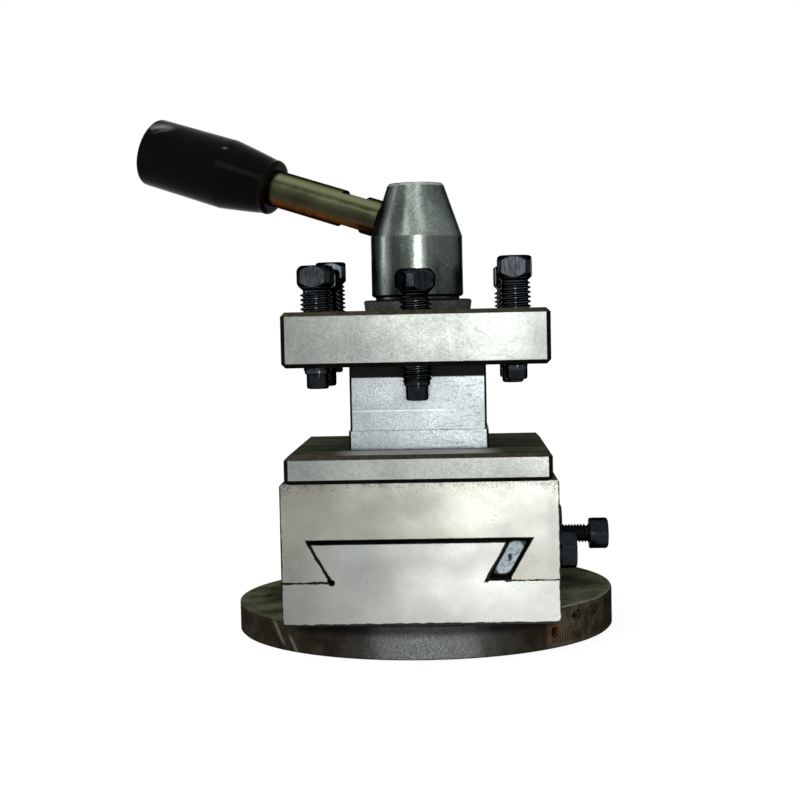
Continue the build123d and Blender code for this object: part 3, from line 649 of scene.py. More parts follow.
class Finish:
    """One procedural finish, read from Object coordinates, with short names for its nodes."""

    def __init__(self, name, specular, rim=1.0):
        self.material = bpy.data.materials.new(name)
        self.material.use_nodes = True
        self.tree = self.material.node_tree
        self.tree.nodes.clear()
        self.shader = self.tree.nodes.new("ShaderNodeBsdfPrincipled")
        self.shader.inputs["Specular IOR Level"].default_value = specular
        self.shader.inputs["Specular Tint"].default_value = (rim, rim, rim, 1)
        output = self.tree.nodes.new("ShaderNodeOutputMaterial")
        self.tree.links.new(self.shader.outputs["BSDF"], output.inputs["Surface"])
        source = self.tree.nodes.new("ShaderNodeTexCoord")
        self.place = source.outputs["Object"]
        self.facing = source.outputs["Normal"]

    def put(self, socket, value):
        """Link a socket to another, or set its value."""
        if isinstance(value, bpy.types.NodeSocket):
            self.tree.links.new(value, socket)
        elif socket.type == "RGBA" and len(value) == 3:
            socket.default_value = (*value, 1)
        else:
            socket.default_value = value

    def node(self, kind, inputs, **settings):
        """Add a node with its settings and inputs."""
        new = self.tree.nodes.new(kind)
        for key, value in settings.items():
            setattr(new, key, value)
        for key, value in inputs.items():
            self.put(new.inputs[key], value)
        return new

    def maths(self, operation, a, b=0.0):
        """One sum of two values."""
        return self.node("ShaderNodeMath", {0: a, 1: b}, operation=operation).outputs[0]

    def vector(self, operation, inputs, output=0):
        """One sum of vectors."""
        return self.node("ShaderNodeVectorMath", inputs, operation=operation).outputs[output]

    def plus(self, a, b):
        """The sum of two values."""
        return self.maths("ADD", a, b)

    def unsigned(self, value):
        """A value without its sign."""
        return self.maths("ABSOLUTE", value)

    def apart(self, a, b):
        """How far two values are apart."""
        return self.unsigned(self.maths("SUBTRACT", a, b))

    def both(self, a, *others):
        """Where every one of some masks is set."""
        for other in others:
            a = self.maths("MULTIPLY", a, other)
        return a

    def either(self, a, *others):
        """Where one of some masks is set."""
        for other in others:
            a = self.maths("MAXIMUM", a, other)
        return a

    def over(self, value, low, high, to_low=0.0, to_high=1.0):
        """Spread a value smoothly from one range over another."""
        inputs = {"Value": value, 1: low, 2: high, 3: to_low, 4: to_high}
        return self.node("ShaderNodeMapRange", inputs, interpolation_type="SMOOTHSTEP").outputs[0]

    def between(self, value, low, high, soft):
        """Mask that is set between two values, with soft ends."""
        rise = self.over(value, low - soft, low + soft)
        return self.both(rise, self.over(value, high + soft, high - soft))

    def split(self, vector):
        """The three parts of a vector."""
        return self.node("ShaderNodeSeparateXYZ", {0: vector}).outputs

    def cloud(self, size, detail, rough, stretch=(1, 1, 1), shift=(0, 0, 0), twist=0.0):
        """Noise with features of one size, stretched along an axis if asked."""
        mapped = self.node(
            "ShaderNodeMapping", {"Vector": self.place, "Location": shift, "Scale": stretch}
        )
        inputs = {
            "Vector": mapped.outputs[0],
            "Scale": 1 / size,
            "Detail": detail,
            "Roughness": rough,
            "Distortion": twist,
        }
        return self.node("ShaderNodeTexNoise", inputs).outputs[0]

    def swing(self, cloud, low=0.0, high=1.0):
        """Spread the usual range of a slow cloud over another."""
        return self.over(cloud, *CLOUD_RANGE, low, high)

    def gritty(self, cloud, low, high):
        """Spread the usual range of a fine cloud over another."""
        return self.over(cloud, *GRIT_RANGE, low, high)

    def wobble(self, cloud, reach):
        """A cloud as a small distance to either side, which makes a line ragged."""
        return self.both(self.maths("SUBTRACT", cloud, 0.5), reach)

    def blend(self, factor, a, b, mode="MIX"):
        """Mix two colours."""
        inputs = {0: factor, 6: a, 7: b}
        return self.node("ShaderNodeMix", inputs, data_type="RGBA", blend_type=mode).outputs[2]

    def scaled(self, colour, factor):
        """A colour made lighter or darker by a factor."""
        return self.vector("SCALE", {0: colour, "Scale": factor})

    def far_from(self, place, stretch=(1, 1, 1)):
        """Distance from a place, with each axis stretched or left out if asked."""
        offset = self.vector("SUBTRACT", {0: self.place, 1: place})
        stretched = self.vector("MULTIPLY", {0: offset, 1: stretch})
        return self.vector("LENGTH", {0: stretched}, "Value")

    def edges(self, width, low=0.02, high=0.25):
        """Mask of the edges, from the turn of a rounded normal."""
        rounded = self.node("ShaderNodeBevel", {"Radius": width}, samples=6)
        true = self.node("ShaderNodeNewGeometry", {})
        inputs = {0: rounded.outputs[0], 1: true.outputs["Normal"]}
        return self.over(self.vector("DOT_PRODUCT", inputs, "Value"), 1 - low, 1 - high)

    def corners(self, reach, low=0.35, high=0.95):
        """Mask of the inside corners and gaps."""
        hidden = self.node("ShaderNodeAmbientOcclusion", {"Distance": reach}, samples=8)
        return self.over(hidden.outputs["AO"], high, low)

    def slanted(self):
        """Mask of faces that are square to none of the three axes."""
        parts = [self.unsigned(part) for part in self.split(self.facing)]
        return self.over(self.either(*parts), 0.97, 0.9)

    def bump(self, rounding, *layers):
        """Raise layers of (height, depth) as bumps, over edges rounded by the shader."""
        normal = self.node("ShaderNodeBevel", {"Radius": rounding}, samples=6).outputs[0]
        for height, depth in layers:
            inputs = {"Strength": 1.0, "Distance": depth, "Height": height, "Normal": normal}
            normal = self.node("ShaderNodeBump", inputs).outputs[0]
        self.put(self.shader.inputs["Normal"], normal)

    def close(self, colour, roughness, metallic):
        """Link colour, roughness and metallic to the shader."""
        self.put(self.shader.inputs["Base Color"], colour)
        self.put(self.shader.inputs["Roughness"], roughness)
        self.put(self.shader.inputs["Metallic"], metallic)
        return self.material


def times(tone, factor):
    """A tone made lighter or darker by a factor, at most white."""
    return [min(1, factor * part) for part in tone]


def ground_face(finish, tone, shift, speckle, waves=0.0005, ramp=(0.60, 1.14), tint=0.5):
    """Ground metal: slow mottling, painted shade on the left and painted light on the right, fine
    speckle, short scratches and pits.

    Gives its colour, its roughness and the layers of its bump.
    """
    x = finish.split(finish.place)[0]
    slow = finish.cloud(0.034, 3, 0.5, shift=shift, twist=0.3)
    # Painted shade on the left, painted light on the right
    level = finish.both(finish.swing(slow, 0.86, 1.12), finish.over(x, *SHADED_TO_LIT, *ramp))
    middling = finish.cloud(0.013, 3, 0.55, shift=(shift[1], shift[0], shift[2]))
    level = finish.both(level, finish.swing(middling, 0.93, 1.06))
    fine = finish.cloud(0.0008, 3, 0.75, shift=shift)
    grit = finish.both(finish.gritty(fine, -1.0, 0.7), speckle)
    level = finish.both(level, finish.plus(grit, 1.0))
    colour = finish.scaled(tone, level)
    # Warm and cold stains
    warm = finish.cloud(0.05, 2, 0.5, shift=(shift[0] + 0.31, shift[1], shift[2] + 0.17))
    warm = finish.over(warm, 0.4, 0.65, 0.0, tint)
    colour = finish.blend(warm, colour, (0.96, 0.94, 0.88), "MULTIPLY")
    cold = finish.cloud(0.03, 3, 0.5, shift=(shift[0], shift[1] + 0.4, shift[2] + 0.6))
    cold = finish.over(cold, 0.5, 0.7, 0.0, tint)
    colour = finish.blend(cold, colour, (0.89, 0.95, 1.0), "MULTIPLY")
    # Scratches and pits, in some areas more than in others
    marked = finish.over(finish.cloud(0.014, 3, 0.6, shift=shift), 0.44, 0.62)
    scratches = finish.cloud(0.0008, 2, 0.6, stretch=(0.2, 1, 1), shift=shift)
    scratches = finish.both(finish.over(scratches, 0.64, 0.72), marked, 0.32)
    pits = finish.cloud(0.0009, 2, 0.6, shift=(shift[2], shift[0], shift[1]))
    pits = finish.both(finish.over(pits, 0.67, 0.74), marked, 0.5)
    marks = finish.either(scratches, pits)
    colour = finish.blend(marks, colour, (0.05, 0.05, 0.045))
    roughness = finish.swing(slow, 0.31, 0.25)
    layers = ((slow, waves), (finish.maths("SUBTRACT", fine, marks), 0.00003))
    return colour, roughness, layers


def patches(finish, colour, spots):
    """Painted highlights and painted shade on a colour, in soft spots of (x, z, half width, half
    height, gain).
    """
    total = 1.0
    for x, z, wide, tall, gain in spots:
        spot = finish.far_from((x, 0, z), (1 / wide, 0, 1 / tall))
        total = finish.plus(finish.over(spot, 1.4, 0.2, 0.0, gain), total)
    return finish.scaled(colour, total)


def old_oil(finish, shift, width=0.0006, crevices=0.8):
    """Mask of black oil and painted shade along the edges, and of painted shade in the corners,
    uneven like real grime.

    Gives the mask and the cloud that makes it uneven.
    """
    grime = finish.cloud(0.0032, 4, 0.7, shift=shift)
    uneven = finish.over(grime, 0.3, 0.6, 0.35, 0.95)
    edge = finish.over(finish.edges(width, 0.01, 0.16), 0.25, 0.85)
    # Painted shade in the corners
    crevice = finish.both(finish.corners(0.0022, 0.45, 0.8), crevices)
    return finish.both(finish.either(edge, crevice), uneven), grime


def close_dulled(finish, colour, roughness, dull, layers):
    """Close ground metal, which is rougher and not metallic where oil, dirt and painted shade dull
    it.
    """
    finish.bump(0.0003, *layers)
    roughness = finish.plus(roughness, finish.both(dull, 0.25))
    return finish.close(colour, roughness, finish.over(dull, 0.3, 0.9, 1.0, 0.0))


def post_steel(name, colours, seat_top, overhang):
    """Steel of the post: bright faces, chamfers painted black as painted shade, oily tops with
    painted shade, and a cold blue core.
    """
    finish = Finish(name, specular=0.0, rim=0.3)
    shift = (0.6, 0.2, 0.35)
    x, y, z = finish.split(finish.place)
    up = finish.split(finish.facing)[2]
    on_core = finish.between(z, seat_top + 0.0002, overhang - 0.0001, 0.0001)
    on_seat = finish.maths("LESS_THAN", z, seat_top + 0.0002)
    tone = finish.blend(on_core, colours.plate_steel, colours.core_steel)
    # The seat plate is the top plate's steel painted lighter, as painted light, since the lamp
    # lights the top plate more
    tone = finish.blend(on_seat, tone, times(colours.plate_steel, 1.35))
    # The core was milled in two passes
    pass_end = seat_top + CORE_PASS
    lower = finish.over(z, pass_end + 0.0003, pass_end - 0.0003, 0.94, 1.04)
    lower = finish.both(on_core, finish.maths("SUBTRACT", lower, 1.0))
    tone = finish.scaled(tone, finish.plus(lower, 1.0))
    speckle = finish.over(on_core, 0.0, 1.0, 0.15, 0.24)
    colour, roughness, layers = ground_face(
        finish, tone, shift, speckle, waves=0.00018, ramp=(0.68, 0.93), tint=0.25
    )
    # Painted highlights and painted shade in soft spots
    colour = patches(finish, colour, POST_LIGHT_AND_SHADE)
    line = finish.between(z, pass_end - 0.0001, pass_end + 0.0001, 0.00015)
    line = finish.both(on_core, line, finish.over(x, 0.016, 0.010), 0.5)
    colour = finish.blend(line, colour, (0.8, 0.84, 0.84))
    # Short drag marks on its right half
    drag = finish.cloud(0.0009, 3, 0.7, stretch=(0.22, 1, 1), shift=(0.8, 0.1, 0.2))
    drag = finish.both(finish.over(drag, 0.54, 0.66), finish.over(x, -0.006, 0.016), on_core, 0.6)
    colour = finish.blend(drag, colour, (0.07, 0.075, 0.075))
    # Black oil and painted shade on the edges and in the corners, chamfers painted dark as painted
    # shade, darkest where they face down, and a painted shadow on the top of the core below the
    # top plate
    oil_and_shade, grime = old_oil(finish, shift)
    oil_and_shade = finish.both(oil_and_shade, finish.over(finish.apart(z, seat_top + FOOT), 0.0005, 0.0009))
    colour = finish.blend(oil_and_shade, colour, (0.010, 0.010, 0.008))
    chamfer = finish.slanted()
    shade_black, brown = (0.009, 0.009, 0.007), (0.055, 0.050, 0.034)
    painted_chamfer_shade = finish.blend(finish.over(up, 0.3, 0.6), shade_black, brown)
    painted_chamfer_shade = finish.scaled(painted_chamfer_shade, finish.over(grime, 0.25, 0.7, 0.7, 1.5))
    colour = finish.blend(chamfer, colour, painted_chamfer_shade)
    # Painted shadow of the top plate on the core
    painted_core_shadow = finish.both(on_core, finish.over(z, overhang - 0.0052, overhang - 0.0046), 0.93)
    colour = finish.blend(painted_core_shadow, colour, (0.016, 0.016, 0.014))
    # Oil film and painted shade on the seat's top, with a painted reflection in front of the core
    # where the oil is wiped off
    ledge = finish.both(finish.over(up, 0.8, 0.95), on_seat)
    streaks = finish.cloud(0.012, 4, 0.6, stretch=(0.3, 1, 1), shift=shift)
    wiped_and_painted_reflection = finish.both(
        finish.over(finish.unsigned(x), 0.034, 0.016),
        finish.over(streaks, 0.3, 0.6, 0.5, 1.0),
        finish.over(y, -0.060, -0.070),
    )
    dark, olive = (0.045, 0.045, 0.028), (0.105, 0.11, 0.078)
    ledge_tone = finish.blend(finish.over(streaks, 0.35, 0.65), dark, olive)
    ledge_tone = finish.blend(wiped_and_painted_reflection, ledge_tone, (0.84, 0.89, 0.87))
    colour = finish.blend(ledge, colour, ledge_tone)
    film = finish.both(ledge, finish.over(wiped_and_painted_reflection, 0.0, 1.0, 1.0, 0.5))
    dull = finish.either(oil_and_shade, chamfer, painted_core_shadow, film)
    return close_dulled(finish, colour, roughness, dull, layers)


def way_lines(finish, joint, grime):
    """Mask of the black oil squeezed out along the dovetail's flanks and the joint below it."""
    x, _, z = finish.split(finish.place)
    ragged = finish.wobble(grime, 0.0016)
    level = finish.maths("SUBTRACT", z, joint)
    on_end = finish.over(finish.unsigned(finish.split(finish.facing)[1]), 0.8, 0.95)
    height = finish.between(level, -0.0006, DOVETAIL_HEIGHT + 0.0014, 0.0003)
    lines = []
    for foot, side, width in ((DOVETAIL_LEFT, -1, 0.00065), (DOVETAIL_RIGHT, 1, 0.00085)):
        off = finish.both(finish.maths("SUBTRACT", x, foot), cos(pi / 6))
        off = finish.plus(off, finish.both(level, -side / 2))
        off = finish.plus(finish.unsigned(off), ragged)
        lines.append(finish.both(finish.over(off, width + 0.0001, width - 0.0002), height))
    left = finish.over(x, DOVETAIL_LEFT + 0.0005, DOVETAIL_LEFT)
    right = finish.over(x, JOINT_RIGHT, JOINT_RIGHT + 0.0005)
    width = finish.over(x, -0.02, 0.0, 0.00045, 0.00028)
    seam = finish.maths("LESS_THAN", finish.plus(finish.unsigned(level), ragged), width)
    seam = finish.both(seam, finish.either(left, right))
    return finish.both(finish.either(*lines, seam), on_end, 0.96)


def oil_outline(finish, level, reach, grime):
    """Mask of black oil and painted shade down the sides of a front face and along one edge of it.
    """
    x, _, z = finish.split(finish.place)
    ragged = finish.wobble(grime, 0.0012)
    on_end = finish.over(finish.split(finish.facing)[1], -0.7, -0.9)
    sides = finish.plus(finish.unsigned(x), ragged)
    sides = finish.over(sides, SLIDE_HALF - 0.0006, SLIDE_HALF - 0.0003)
    edge = finish.plus(finish.apart(z, level), ragged)
    edge = finish.over(edge, reach + 0.0001, reach - 0.0002)
    return finish.both(finish.either(sides, edge), on_end, 0.9)


def slide_iron(name, colours, joint, top):
    """Ground iron of the slide: smooth creamy faces, black at the joint, grime below the top."""
    finish = Finish(name, specular=0.0, rim=0.3)
    shift = (0.13, 0.4, 0.77)
    x, _, z = finish.split(finish.place)
    sideways, _, up = finish.split(finish.facing)
    colour, roughness, layers = ground_face(
        finish, colours.slide_iron, shift, speckle=0.05, ramp=(0.54, 1.16)
    )
    # Painted highlights and painted shade in soft spots
    colour = patches(finish, colour, SLIDE_LIGHT_AND_SHADE)
    oil_and_shade, grime = old_oil(finish, shift)
    seam = way_lines(finish, joint, grime)
    # Crumbs of dirt towards the edges, and smudges below the top
    crumbs = finish.cloud(0.0008, 3, 0.75, shift=(0.3, 0.9, 0.1))
    near_top = finish.over(z, top - 0.009, top - 0.0006, 0.0, 0.16)
    near_side = finish.over(finish.unsigned(x), 0.044, 0.0515, 0.0, 0.06)
    crumbs = finish.plus(crumbs, finish.plus(near_top, near_side))
    crumbs = finish.both(finish.over(crumbs, 0.66, 0.80), 0.6)
    smudge = finish.over(z, top - 0.0034, top - 0.0004)
    crumbs = finish.either(crumbs, finish.both(finish.over(grime, 0.45, 0.65), smudge, 0.55))
    # Painted shade on the cheeks, and an oil film and painted shade on the top
    side = finish.over(finish.unsigned(sideways), 0.5, 0.9, 0.0, 0.55)
    side = finish.both(side, finish.swing(grime, 0.6, 1.0))
    ledge = finish.over(up, 0.4, 0.7)
    streaks = finish.cloud(0.014, 4, 0.6, stretch=(1, 0.3, 1), shift=shift)
    dark, grey = (0.045, 0.045, 0.030), (0.15, 0.15, 0.12)
    film = finish.blend(finish.over(streaks, 0.3, 0.65), dark, grey)
    # Black oil and painted shade down the sides and along the top edge
    line = oil_outline(finish, top, 0.0004, grime)
    dull = finish.either(oil_and_shade, seam, crumbs, side, line)
    colour = finish.blend(ledge, colour, film)
    colour = finish.blend(dull, colour, IRON_OIL_AND_SHADE)
    dull = finish.either(dull, finish.both(ledge, 0.8))
    return close_dulled(finish, colour, roughness, dull, layers)


def rusty_rim(finish, rust, grit):
    """Rim of the disc: brown oxide, a painted highlight of bare iron in front, lighter at the
    graduations, ruddy by its hole.

    Gives its colour and the mask of its painted highlight in front.
    """
    x, y, z = finish.split(finish.place)
    dark, brown = (0.026, 0.022, 0.015), (0.062, 0.050, 0.035)
    colour = finish.blend(finish.over(rust, 0.35, 0.7), dark, brown)
    bearing = finish.maths("ARCTAN2", y, x)
    graduated = finish.both(
        finish.over(bearing, radians(-52.8), radians(-51.8)),
        finish.over(bearing, radians(-18), radians(-34)),
        0.85,
    )
    brown, tan = (0.045, 0.038, 0.022), (0.165, 0.145, 0.095)
    colour = finish.blend(graduated, colour, finish.blend(finish.swing(rust), brown, tan))
    # Painted highlight on the front of the rim, as lighter bare iron
    painted_front_highlight = finish.cloud(0.012, 4, 0.6, stretch=(1, 1, 0.4), shift=(0.1, 0.5, 0.9))
    painted_front_highlight = finish.both(
        finish.over(finish.unsigned(finish.plus(x, -0.003)), 0.041, 0.004),
        finish.maths("LESS_THAN", y, 0.0),
        finish.over(painted_front_highlight, 0.25, 0.6, 0.6, 1.0),
    )
    painted_highlight_iron = finish.scaled((0.155, 0.165, 0.165), finish.gritty(grit, 0.55, 1.35))
    colour = finish.blend(painted_front_highlight, colour, painted_highlight_iron)
    ruddy = finish.over(finish.far_from(RIM_HOLE), 0.0062, 0.0022)
    ruddy = finish.both(ruddy, finish.over(rust, 0.35, 0.6, 0.4, 1.0), 0.85)
    colour = finish.blend(ruddy, colour, (0.20, 0.095, 0.030))
    # Painted shadow below the block, and scratches
    below = finish.over(finish.unsigned(x), 0.054, 0.048)
    painted_shadow_below_block = finish.both(finish.over(z, 0.0072, 0.0112), below, 0.8)
    colour = finish.blend(painted_shadow_below_block, colour, (0.008, 0.008, 0.009))
    lean = finish.both(finish.maths("SUBTRACT", z, 0.006), STROKE_LEAN)
    lean = finish.plus(bearing, lean)
    for degrees, width, foot, tip in RIM_STROKES:
        stroke = finish.both(
            finish.between(lean, radians(degrees) - width, radians(degrees) + width, 0.010),
            finish.between(z, foot, tip, 0.0012),
            finish.over(rust, 0.3, 0.55, 0.4, 0.75),
        )
        colour = finish.blend(stroke, colour, (0.26, 0.25, 0.21))
    return colour, painted_front_highlight


def swivel_iron(name, colours, joint):
    """Cast iron of the swivel base: ground block, olive disc top and dark, rusty rim."""
    finish = Finish(name, specular=0.0, rim=0.3)
    shift = (0.9, 0.3, 0.5)
    x, _, z = finish.split(finish.place)
    sideways, _, up = finish.split(finish.facing)
    tone = [part * share for part, share in zip(colours.slide_iron, (0.98, 1.0, 1.03))]
    colour, roughness, layers = ground_face(finish, tone, shift, speckle=0.05, ramp=(0.46, 1.45))
    # Painted highlights and painted shade in soft spots
    colour = patches(finish, colour, BASE_LIGHT_AND_SHADE)
    oil_and_shade, grime = old_oil(finish, shift)
    seam = way_lines(finish, joint, grime)
    # Painted shade on the cheeks, and black oil and painted shadow down the block's sides and
    # along its lower edge
    side = finish.over(finish.unsigned(sideways), 0.5, 0.9, 0.0, 0.55)
    line = oil_outline(finish, BLOCK_FOOT, 0.0009, grime)
    dull = finish.either(oil_and_shade, seam, side, line)
    colour = finish.blend(dull, colour, IRON_OIL_AND_SHADE)
    # The disc with its raised segment: its top and its rim
    segment = finish.maths("LESS_THAN", z, SEGMENT_BELOW)
    segment = finish.both(segment, finish.maths("GREATER_THAN", x, SEGMENT_FROM))
    disc = finish.either(finish.maths("LESS_THAN", z, DISC_BELOW), segment)
    radius = finish.far_from((0, 0, 0), (1, 1, 0))
    on_rim = finish.between(radius, 0.0768, 0.0790, 0.0001)
    rim = finish.both(disc, on_rim, finish.over(up, 0.75, 0.45))
    top = finish.both(disc, finish.over(up, 0.5, 0.8))
    mould = finish.cloud(0.016, 5, 0.65, shift=(0.2, 0.7, 0))
    dark, light = (0.050, 0.050, 0.026), (0.19, 0.195, 0.125)
    olive = finish.blend(finish.over(mould, 0.32, 0.68), dark, light)
    gloom = finish.far_from((0, 0.02, 0), (1, 1, 0))
    olive = finish.scaled(olive, finish.over(gloom, 0.058, 0.078, 0.45, 1.0))
    colour = finish.blend(top, colour, olive)
    rust = finish.cloud(0.008, 5, 0.7, shift=(0.5, 0.1, 0.4))
    grit = finish.cloud(0.0007, 3, 0.8, shift=(0.4, 0.4, 0.4))
    rust_colour, painted_front_highlight = rusty_rim(finish, rust, grit)
    colour = finish.blend(rim, colour, rust_colour)
    # Painted highlight along the rim's top edge
    painted_edge_highlight = finish.both(rim, finish.edges(0.0006, 0.01, 0.15), finish.over(z, 0.009, 0.0105), 0.6)
    colour = finish.blend(painted_edge_highlight, colour, (0.20, 0.20, 0.15))
    cast = finish.either(top, finish.both(rim, finish.over(painted_front_highlight, 1.0, 0.1)))
    layers = (*layers, (finish.both(disc, mould), 0.0001), (finish.both(disc, grit), 0.00005))
    return close_dulled(finish, colour, roughness, finish.either(cast, dull), layers)


def bracket_iron(name, colours):
    """Machined iron of the bearing bracket, with a thin oil film."""
    finish = Finish(name, specular=0.1)
    shift = (0.5, 0.2, 0.1)
    colour, roughness, layers = ground_face(finish, colours.slide_iron, shift, speckle=0.1)
    film = finish.over(finish.cloud(0.02, 4, 0.6, shift=shift), 0.4, 0.7, 0.0, 0.45)
    # Black oil and painted shade on the edges and in the corners, and a thin oil film
    dull = finish.either(old_oil(finish, shift)[0], film)
    colour = finish.blend(dull, colour, (0.03, 0.028, 0.018))
    finish.bump(0.0004, *layers)
    return finish.close(colour, finish.plus(roughness, finish.both(dull, 0.2)), 1.0)


def turned_steel(name, tone):
    """Polished clamp nut: dark and oily on the straight part, drier on the cone and painted
    lighter there as painted light.
    """
    finish = Finish(name, specular=0.1, rim=0.25)
    z = finish.split(finish.place)[2]
    film = finish.cloud(0.012, 4, 0.6, stretch=(1, 1, 0.35), shift=(0.4, 0.2, 0.1))
    cone = finish.over(z, NUT_SHOULDER - 0.0008, NUT_SHOULDER + 0.0008)
    # The cone is painted lighter: painted light
    level = finish.both(finish.swing(film, 0.6, 1.45), finish.over(cone, 0, 1, 1.0, 1.7))
    grains = finish.cloud(0.0007, 3, 0.8)
    level = finish.both(level, finish.gritty(grains, 0.72, 1.3))
    # Painted reflections in bands round the nut
    facing_x, facing_y, _ = finish.split(finish.facing)
    bearing = finish.maths("ARCTAN2", facing_y, facing_x)
    for degrees, width, gain, on_cone in NUT_PAINTED_REFLECTIONS:
        off = finish.apart(bearing, radians(degrees))
        painted_highlight_band = finish.over(off, radians(width), 0.0, 0.0, gain)
        painted_highlight_band = finish.both(painted_highlight_band, finish.over(cone, 0.0, 1.0, 1.0, on_cone))
        level = finish.both(level, finish.plus(painted_highlight_band, 1.0))
    colour = finish.scaled(tone, level)
    # Dirt near the foot, fine glints, dark edges and a painted highlight on the lip at the top
    skin = finish.cloud(0.005, 4, 0.7, stretch=(1, 1, 0.3), shift=(0.7, 0.7, 0.2))
    dirt = finish.over(z, NUT_SHOULDER - 0.004, NUT_SHOULDER - 0.02)
    dirt = finish.both(finish.over(skin, 0.45, 0.65), dirt, 0.5)
    colour = finish.blend(dirt, colour, (0.016, 0.016, 0.010))
    glints = finish.over(finish.cloud(0.001, 2, 0.6, shift=(0.2, 0.9, 0.4)), 0.68, 0.74)
    colour = finish.blend(finish.both(glints, 0.35), colour, (0.5, 0.52, 0.5))
    colour = finish.blend(finish.both(finish.edges(0.0006), 0.5), colour, (0.012, 0.012, 0.010))
    painted_edge_highlight = finish.both(
        finish.over(z, NUT_TOP - 0.0014, NUT_TOP - 0.0007),
        finish.over(z, NUT_TOP, NUT_TOP - 0.0004),
        finish.over(skin, 0.4, 0.6, 0.4, 0.9),
    )
    colour = finish.blend(painted_edge_highlight, colour, (0.42, 0.44, 0.43))
    finish.bump(0.0004, (film, 0.00008), (grains, 0.000015))
    roughness = finish.plus(finish.swing(film, 0.21, 0.27), finish.both(cone, 0.03))
    roughness = finish.plus(roughness, finish.over(z, 0.152, 0.140, 0.0, 0.14))
    return finish.close(colour, roughness, 1.0)


def black_oxide(name, tone, rough=0.22, haze=0.5, wear_and_front_sheen=0.0):
    """Blackened steel, a little brushed, worn lighter on its edges, with its front flats painted
    lighter as painted light.
    """
    finish = Finish(name, specular=0.1, rim=0.12)
    film = finish.cloud(0.004, 4, 0.65)
    brushed = finish.cloud(0.0006, 3, 0.75, stretch=(1, 1, 0.12), shift=(0.2, 0.1, 0.6))
    level = finish.both(finish.swing(film, 0.7, 1.35), finish.gritty(brushed, 1 - haze, 1 + haze))
    colour = finish.scaled(tone, level)
    uneven = finish.over(finish.cloud(0.0022, 3, 0.6), 0.42, 0.58, 0.25, 1.0)
    worn = finish.both(finish.edges(0.0004), uneven, 0.7)
    colour = finish.blend(worn, colour, (0.11, 0.12, 0.13))
    # Front flats painted lighter: painted light
    if wear_and_front_sheen:
        front = finish.over(finish.split(finish.facing)[1], -0.93, -0.985, 1.0, 1.0 + wear_and_front_sheen)
        colour = finish.scaled(colour, front)
    finish.bump(0.0003, (brushed, 0.00002))
    return finish.close(colour, finish.swing(film, rough, rough + 0.1), 1.0)


def threaded_black(name, tone):
    """Smooth, slightly oily black of the clamp screws' threads, darker on their points."""
    finish = Finish(name, specular=0.1, rim=0.12)
    film = finish.cloud(0.003, 3, 0.6)
    colour = finish.scaled(times(tone, 1.9), finish.swing(film, 0.7, 1.3))
    point = finish.over(finish.split(finish.place)[2], POINT_TOP + 0.0005, POINT_TOP - 0.0005)
    colour = finish.scaled(colour, finish.over(point, 0.0, 1.0, 1.0, 0.45))
    finish.bump(0.0001, (film, 0.00002))
    return finish.close(colour, finish.swing(film, 0.12, 0.17), 1.0)


def passivated(name, tone):
    """Yellow passivated rod with brown stains on its low side."""
    finish = Finish(name, specular=0.1, rim=0.25)
    film = finish.cloud(0.012, 4, 0.6, shift=(0.3, 0.3, 0.3))
    colour = finish.blend(finish.swing(film), times(tone, 0.65), times(tone, 1.4))
    # Painted highlight along its upper side, painted shade below
    up = finish.split(finish.facing)[2]
    painted_highlight_band = finish.both(finish.over(up, 0.40, 0.62), finish.over(up, 0.92, 0.70), 0.55)
    colour = finish.blend(painted_highlight_band, colour, times(tone, 5.5))
    colour = finish.blend(finish.over(up, 0.15, -0.20, 0.0, 0.7), colour, times(tone, 0.3))
    stain = finish.cloud(0.006, 4, 0.65, shift=(0.8, 0.3, 0.1))
    stain = finish.both(finish.over(up, -0.25, -0.60), finish.over(stain, 0.35, 0.6, 0.25, 1.0))
    colour = finish.blend(stain, colour, (0.085, 0.032, 0.010))
    # Dark edges, and painted shade in the corners
    colour = finish.blend(finish.both(finish.edges(0.0005), 0.6), colour, (0.012, 0.010, 0.006))
    colour = finish.blend(finish.both(finish.corners(0.003), 0.8), colour, (0.012, 0.009, 0.005))
    finish.bump(0.0004, (film, 0.0001), (finish.cloud(0.0012, 3, 0.6), 0.00002))
    return finish.close(colour, finish.swing(film, 0.2, 0.32), 1.0)


def moulded(name, tone, painted_highlights=()):
    """Black moulded phenolic with faint scuffs, and painted highlights of (place, radius,
    strength).
    """
    finish = Finish(name, specular=0.02)
    haze = finish.cloud(0.01, 4, 0.6)
    colour = finish.blend(finish.over(haze, 0.4, 0.75, 0.0, 0.6), tone, (0.009, 0.007, 0.005))
    faint = finish.cloud(0.0012, 4, 0.7, stretch=(0.4, 1, 1))
    faint = finish.over(faint, 0.70, 0.78, 0.0, 0.35)
    colour = finish.blend(faint, colour, (0.05, 0.048, 0.042))
    rough = finish.cloud(0.0035, 4, 0.7, stretch=(0.4, 1, 1))
    # Painted highlights
    for place, radius, strength in painted_highlights:
        spot = finish.over(finish.far_from(place, (0.5, 1, 1)), radius, 0.0)
        spot = finish.both(spot, finish.over(rough, 0.35, 0.6), strength)
        colour = finish.blend(spot, colour, (0.34, 0.37, 0.40))
    finish.bump(0.0004, (haze, 0.00008), (finish.cloud(0.0012, 3, 0.6), 0.000012))
    return finish.close(colour, finish.swing(haze, 0.15, 0.24), 0.0)


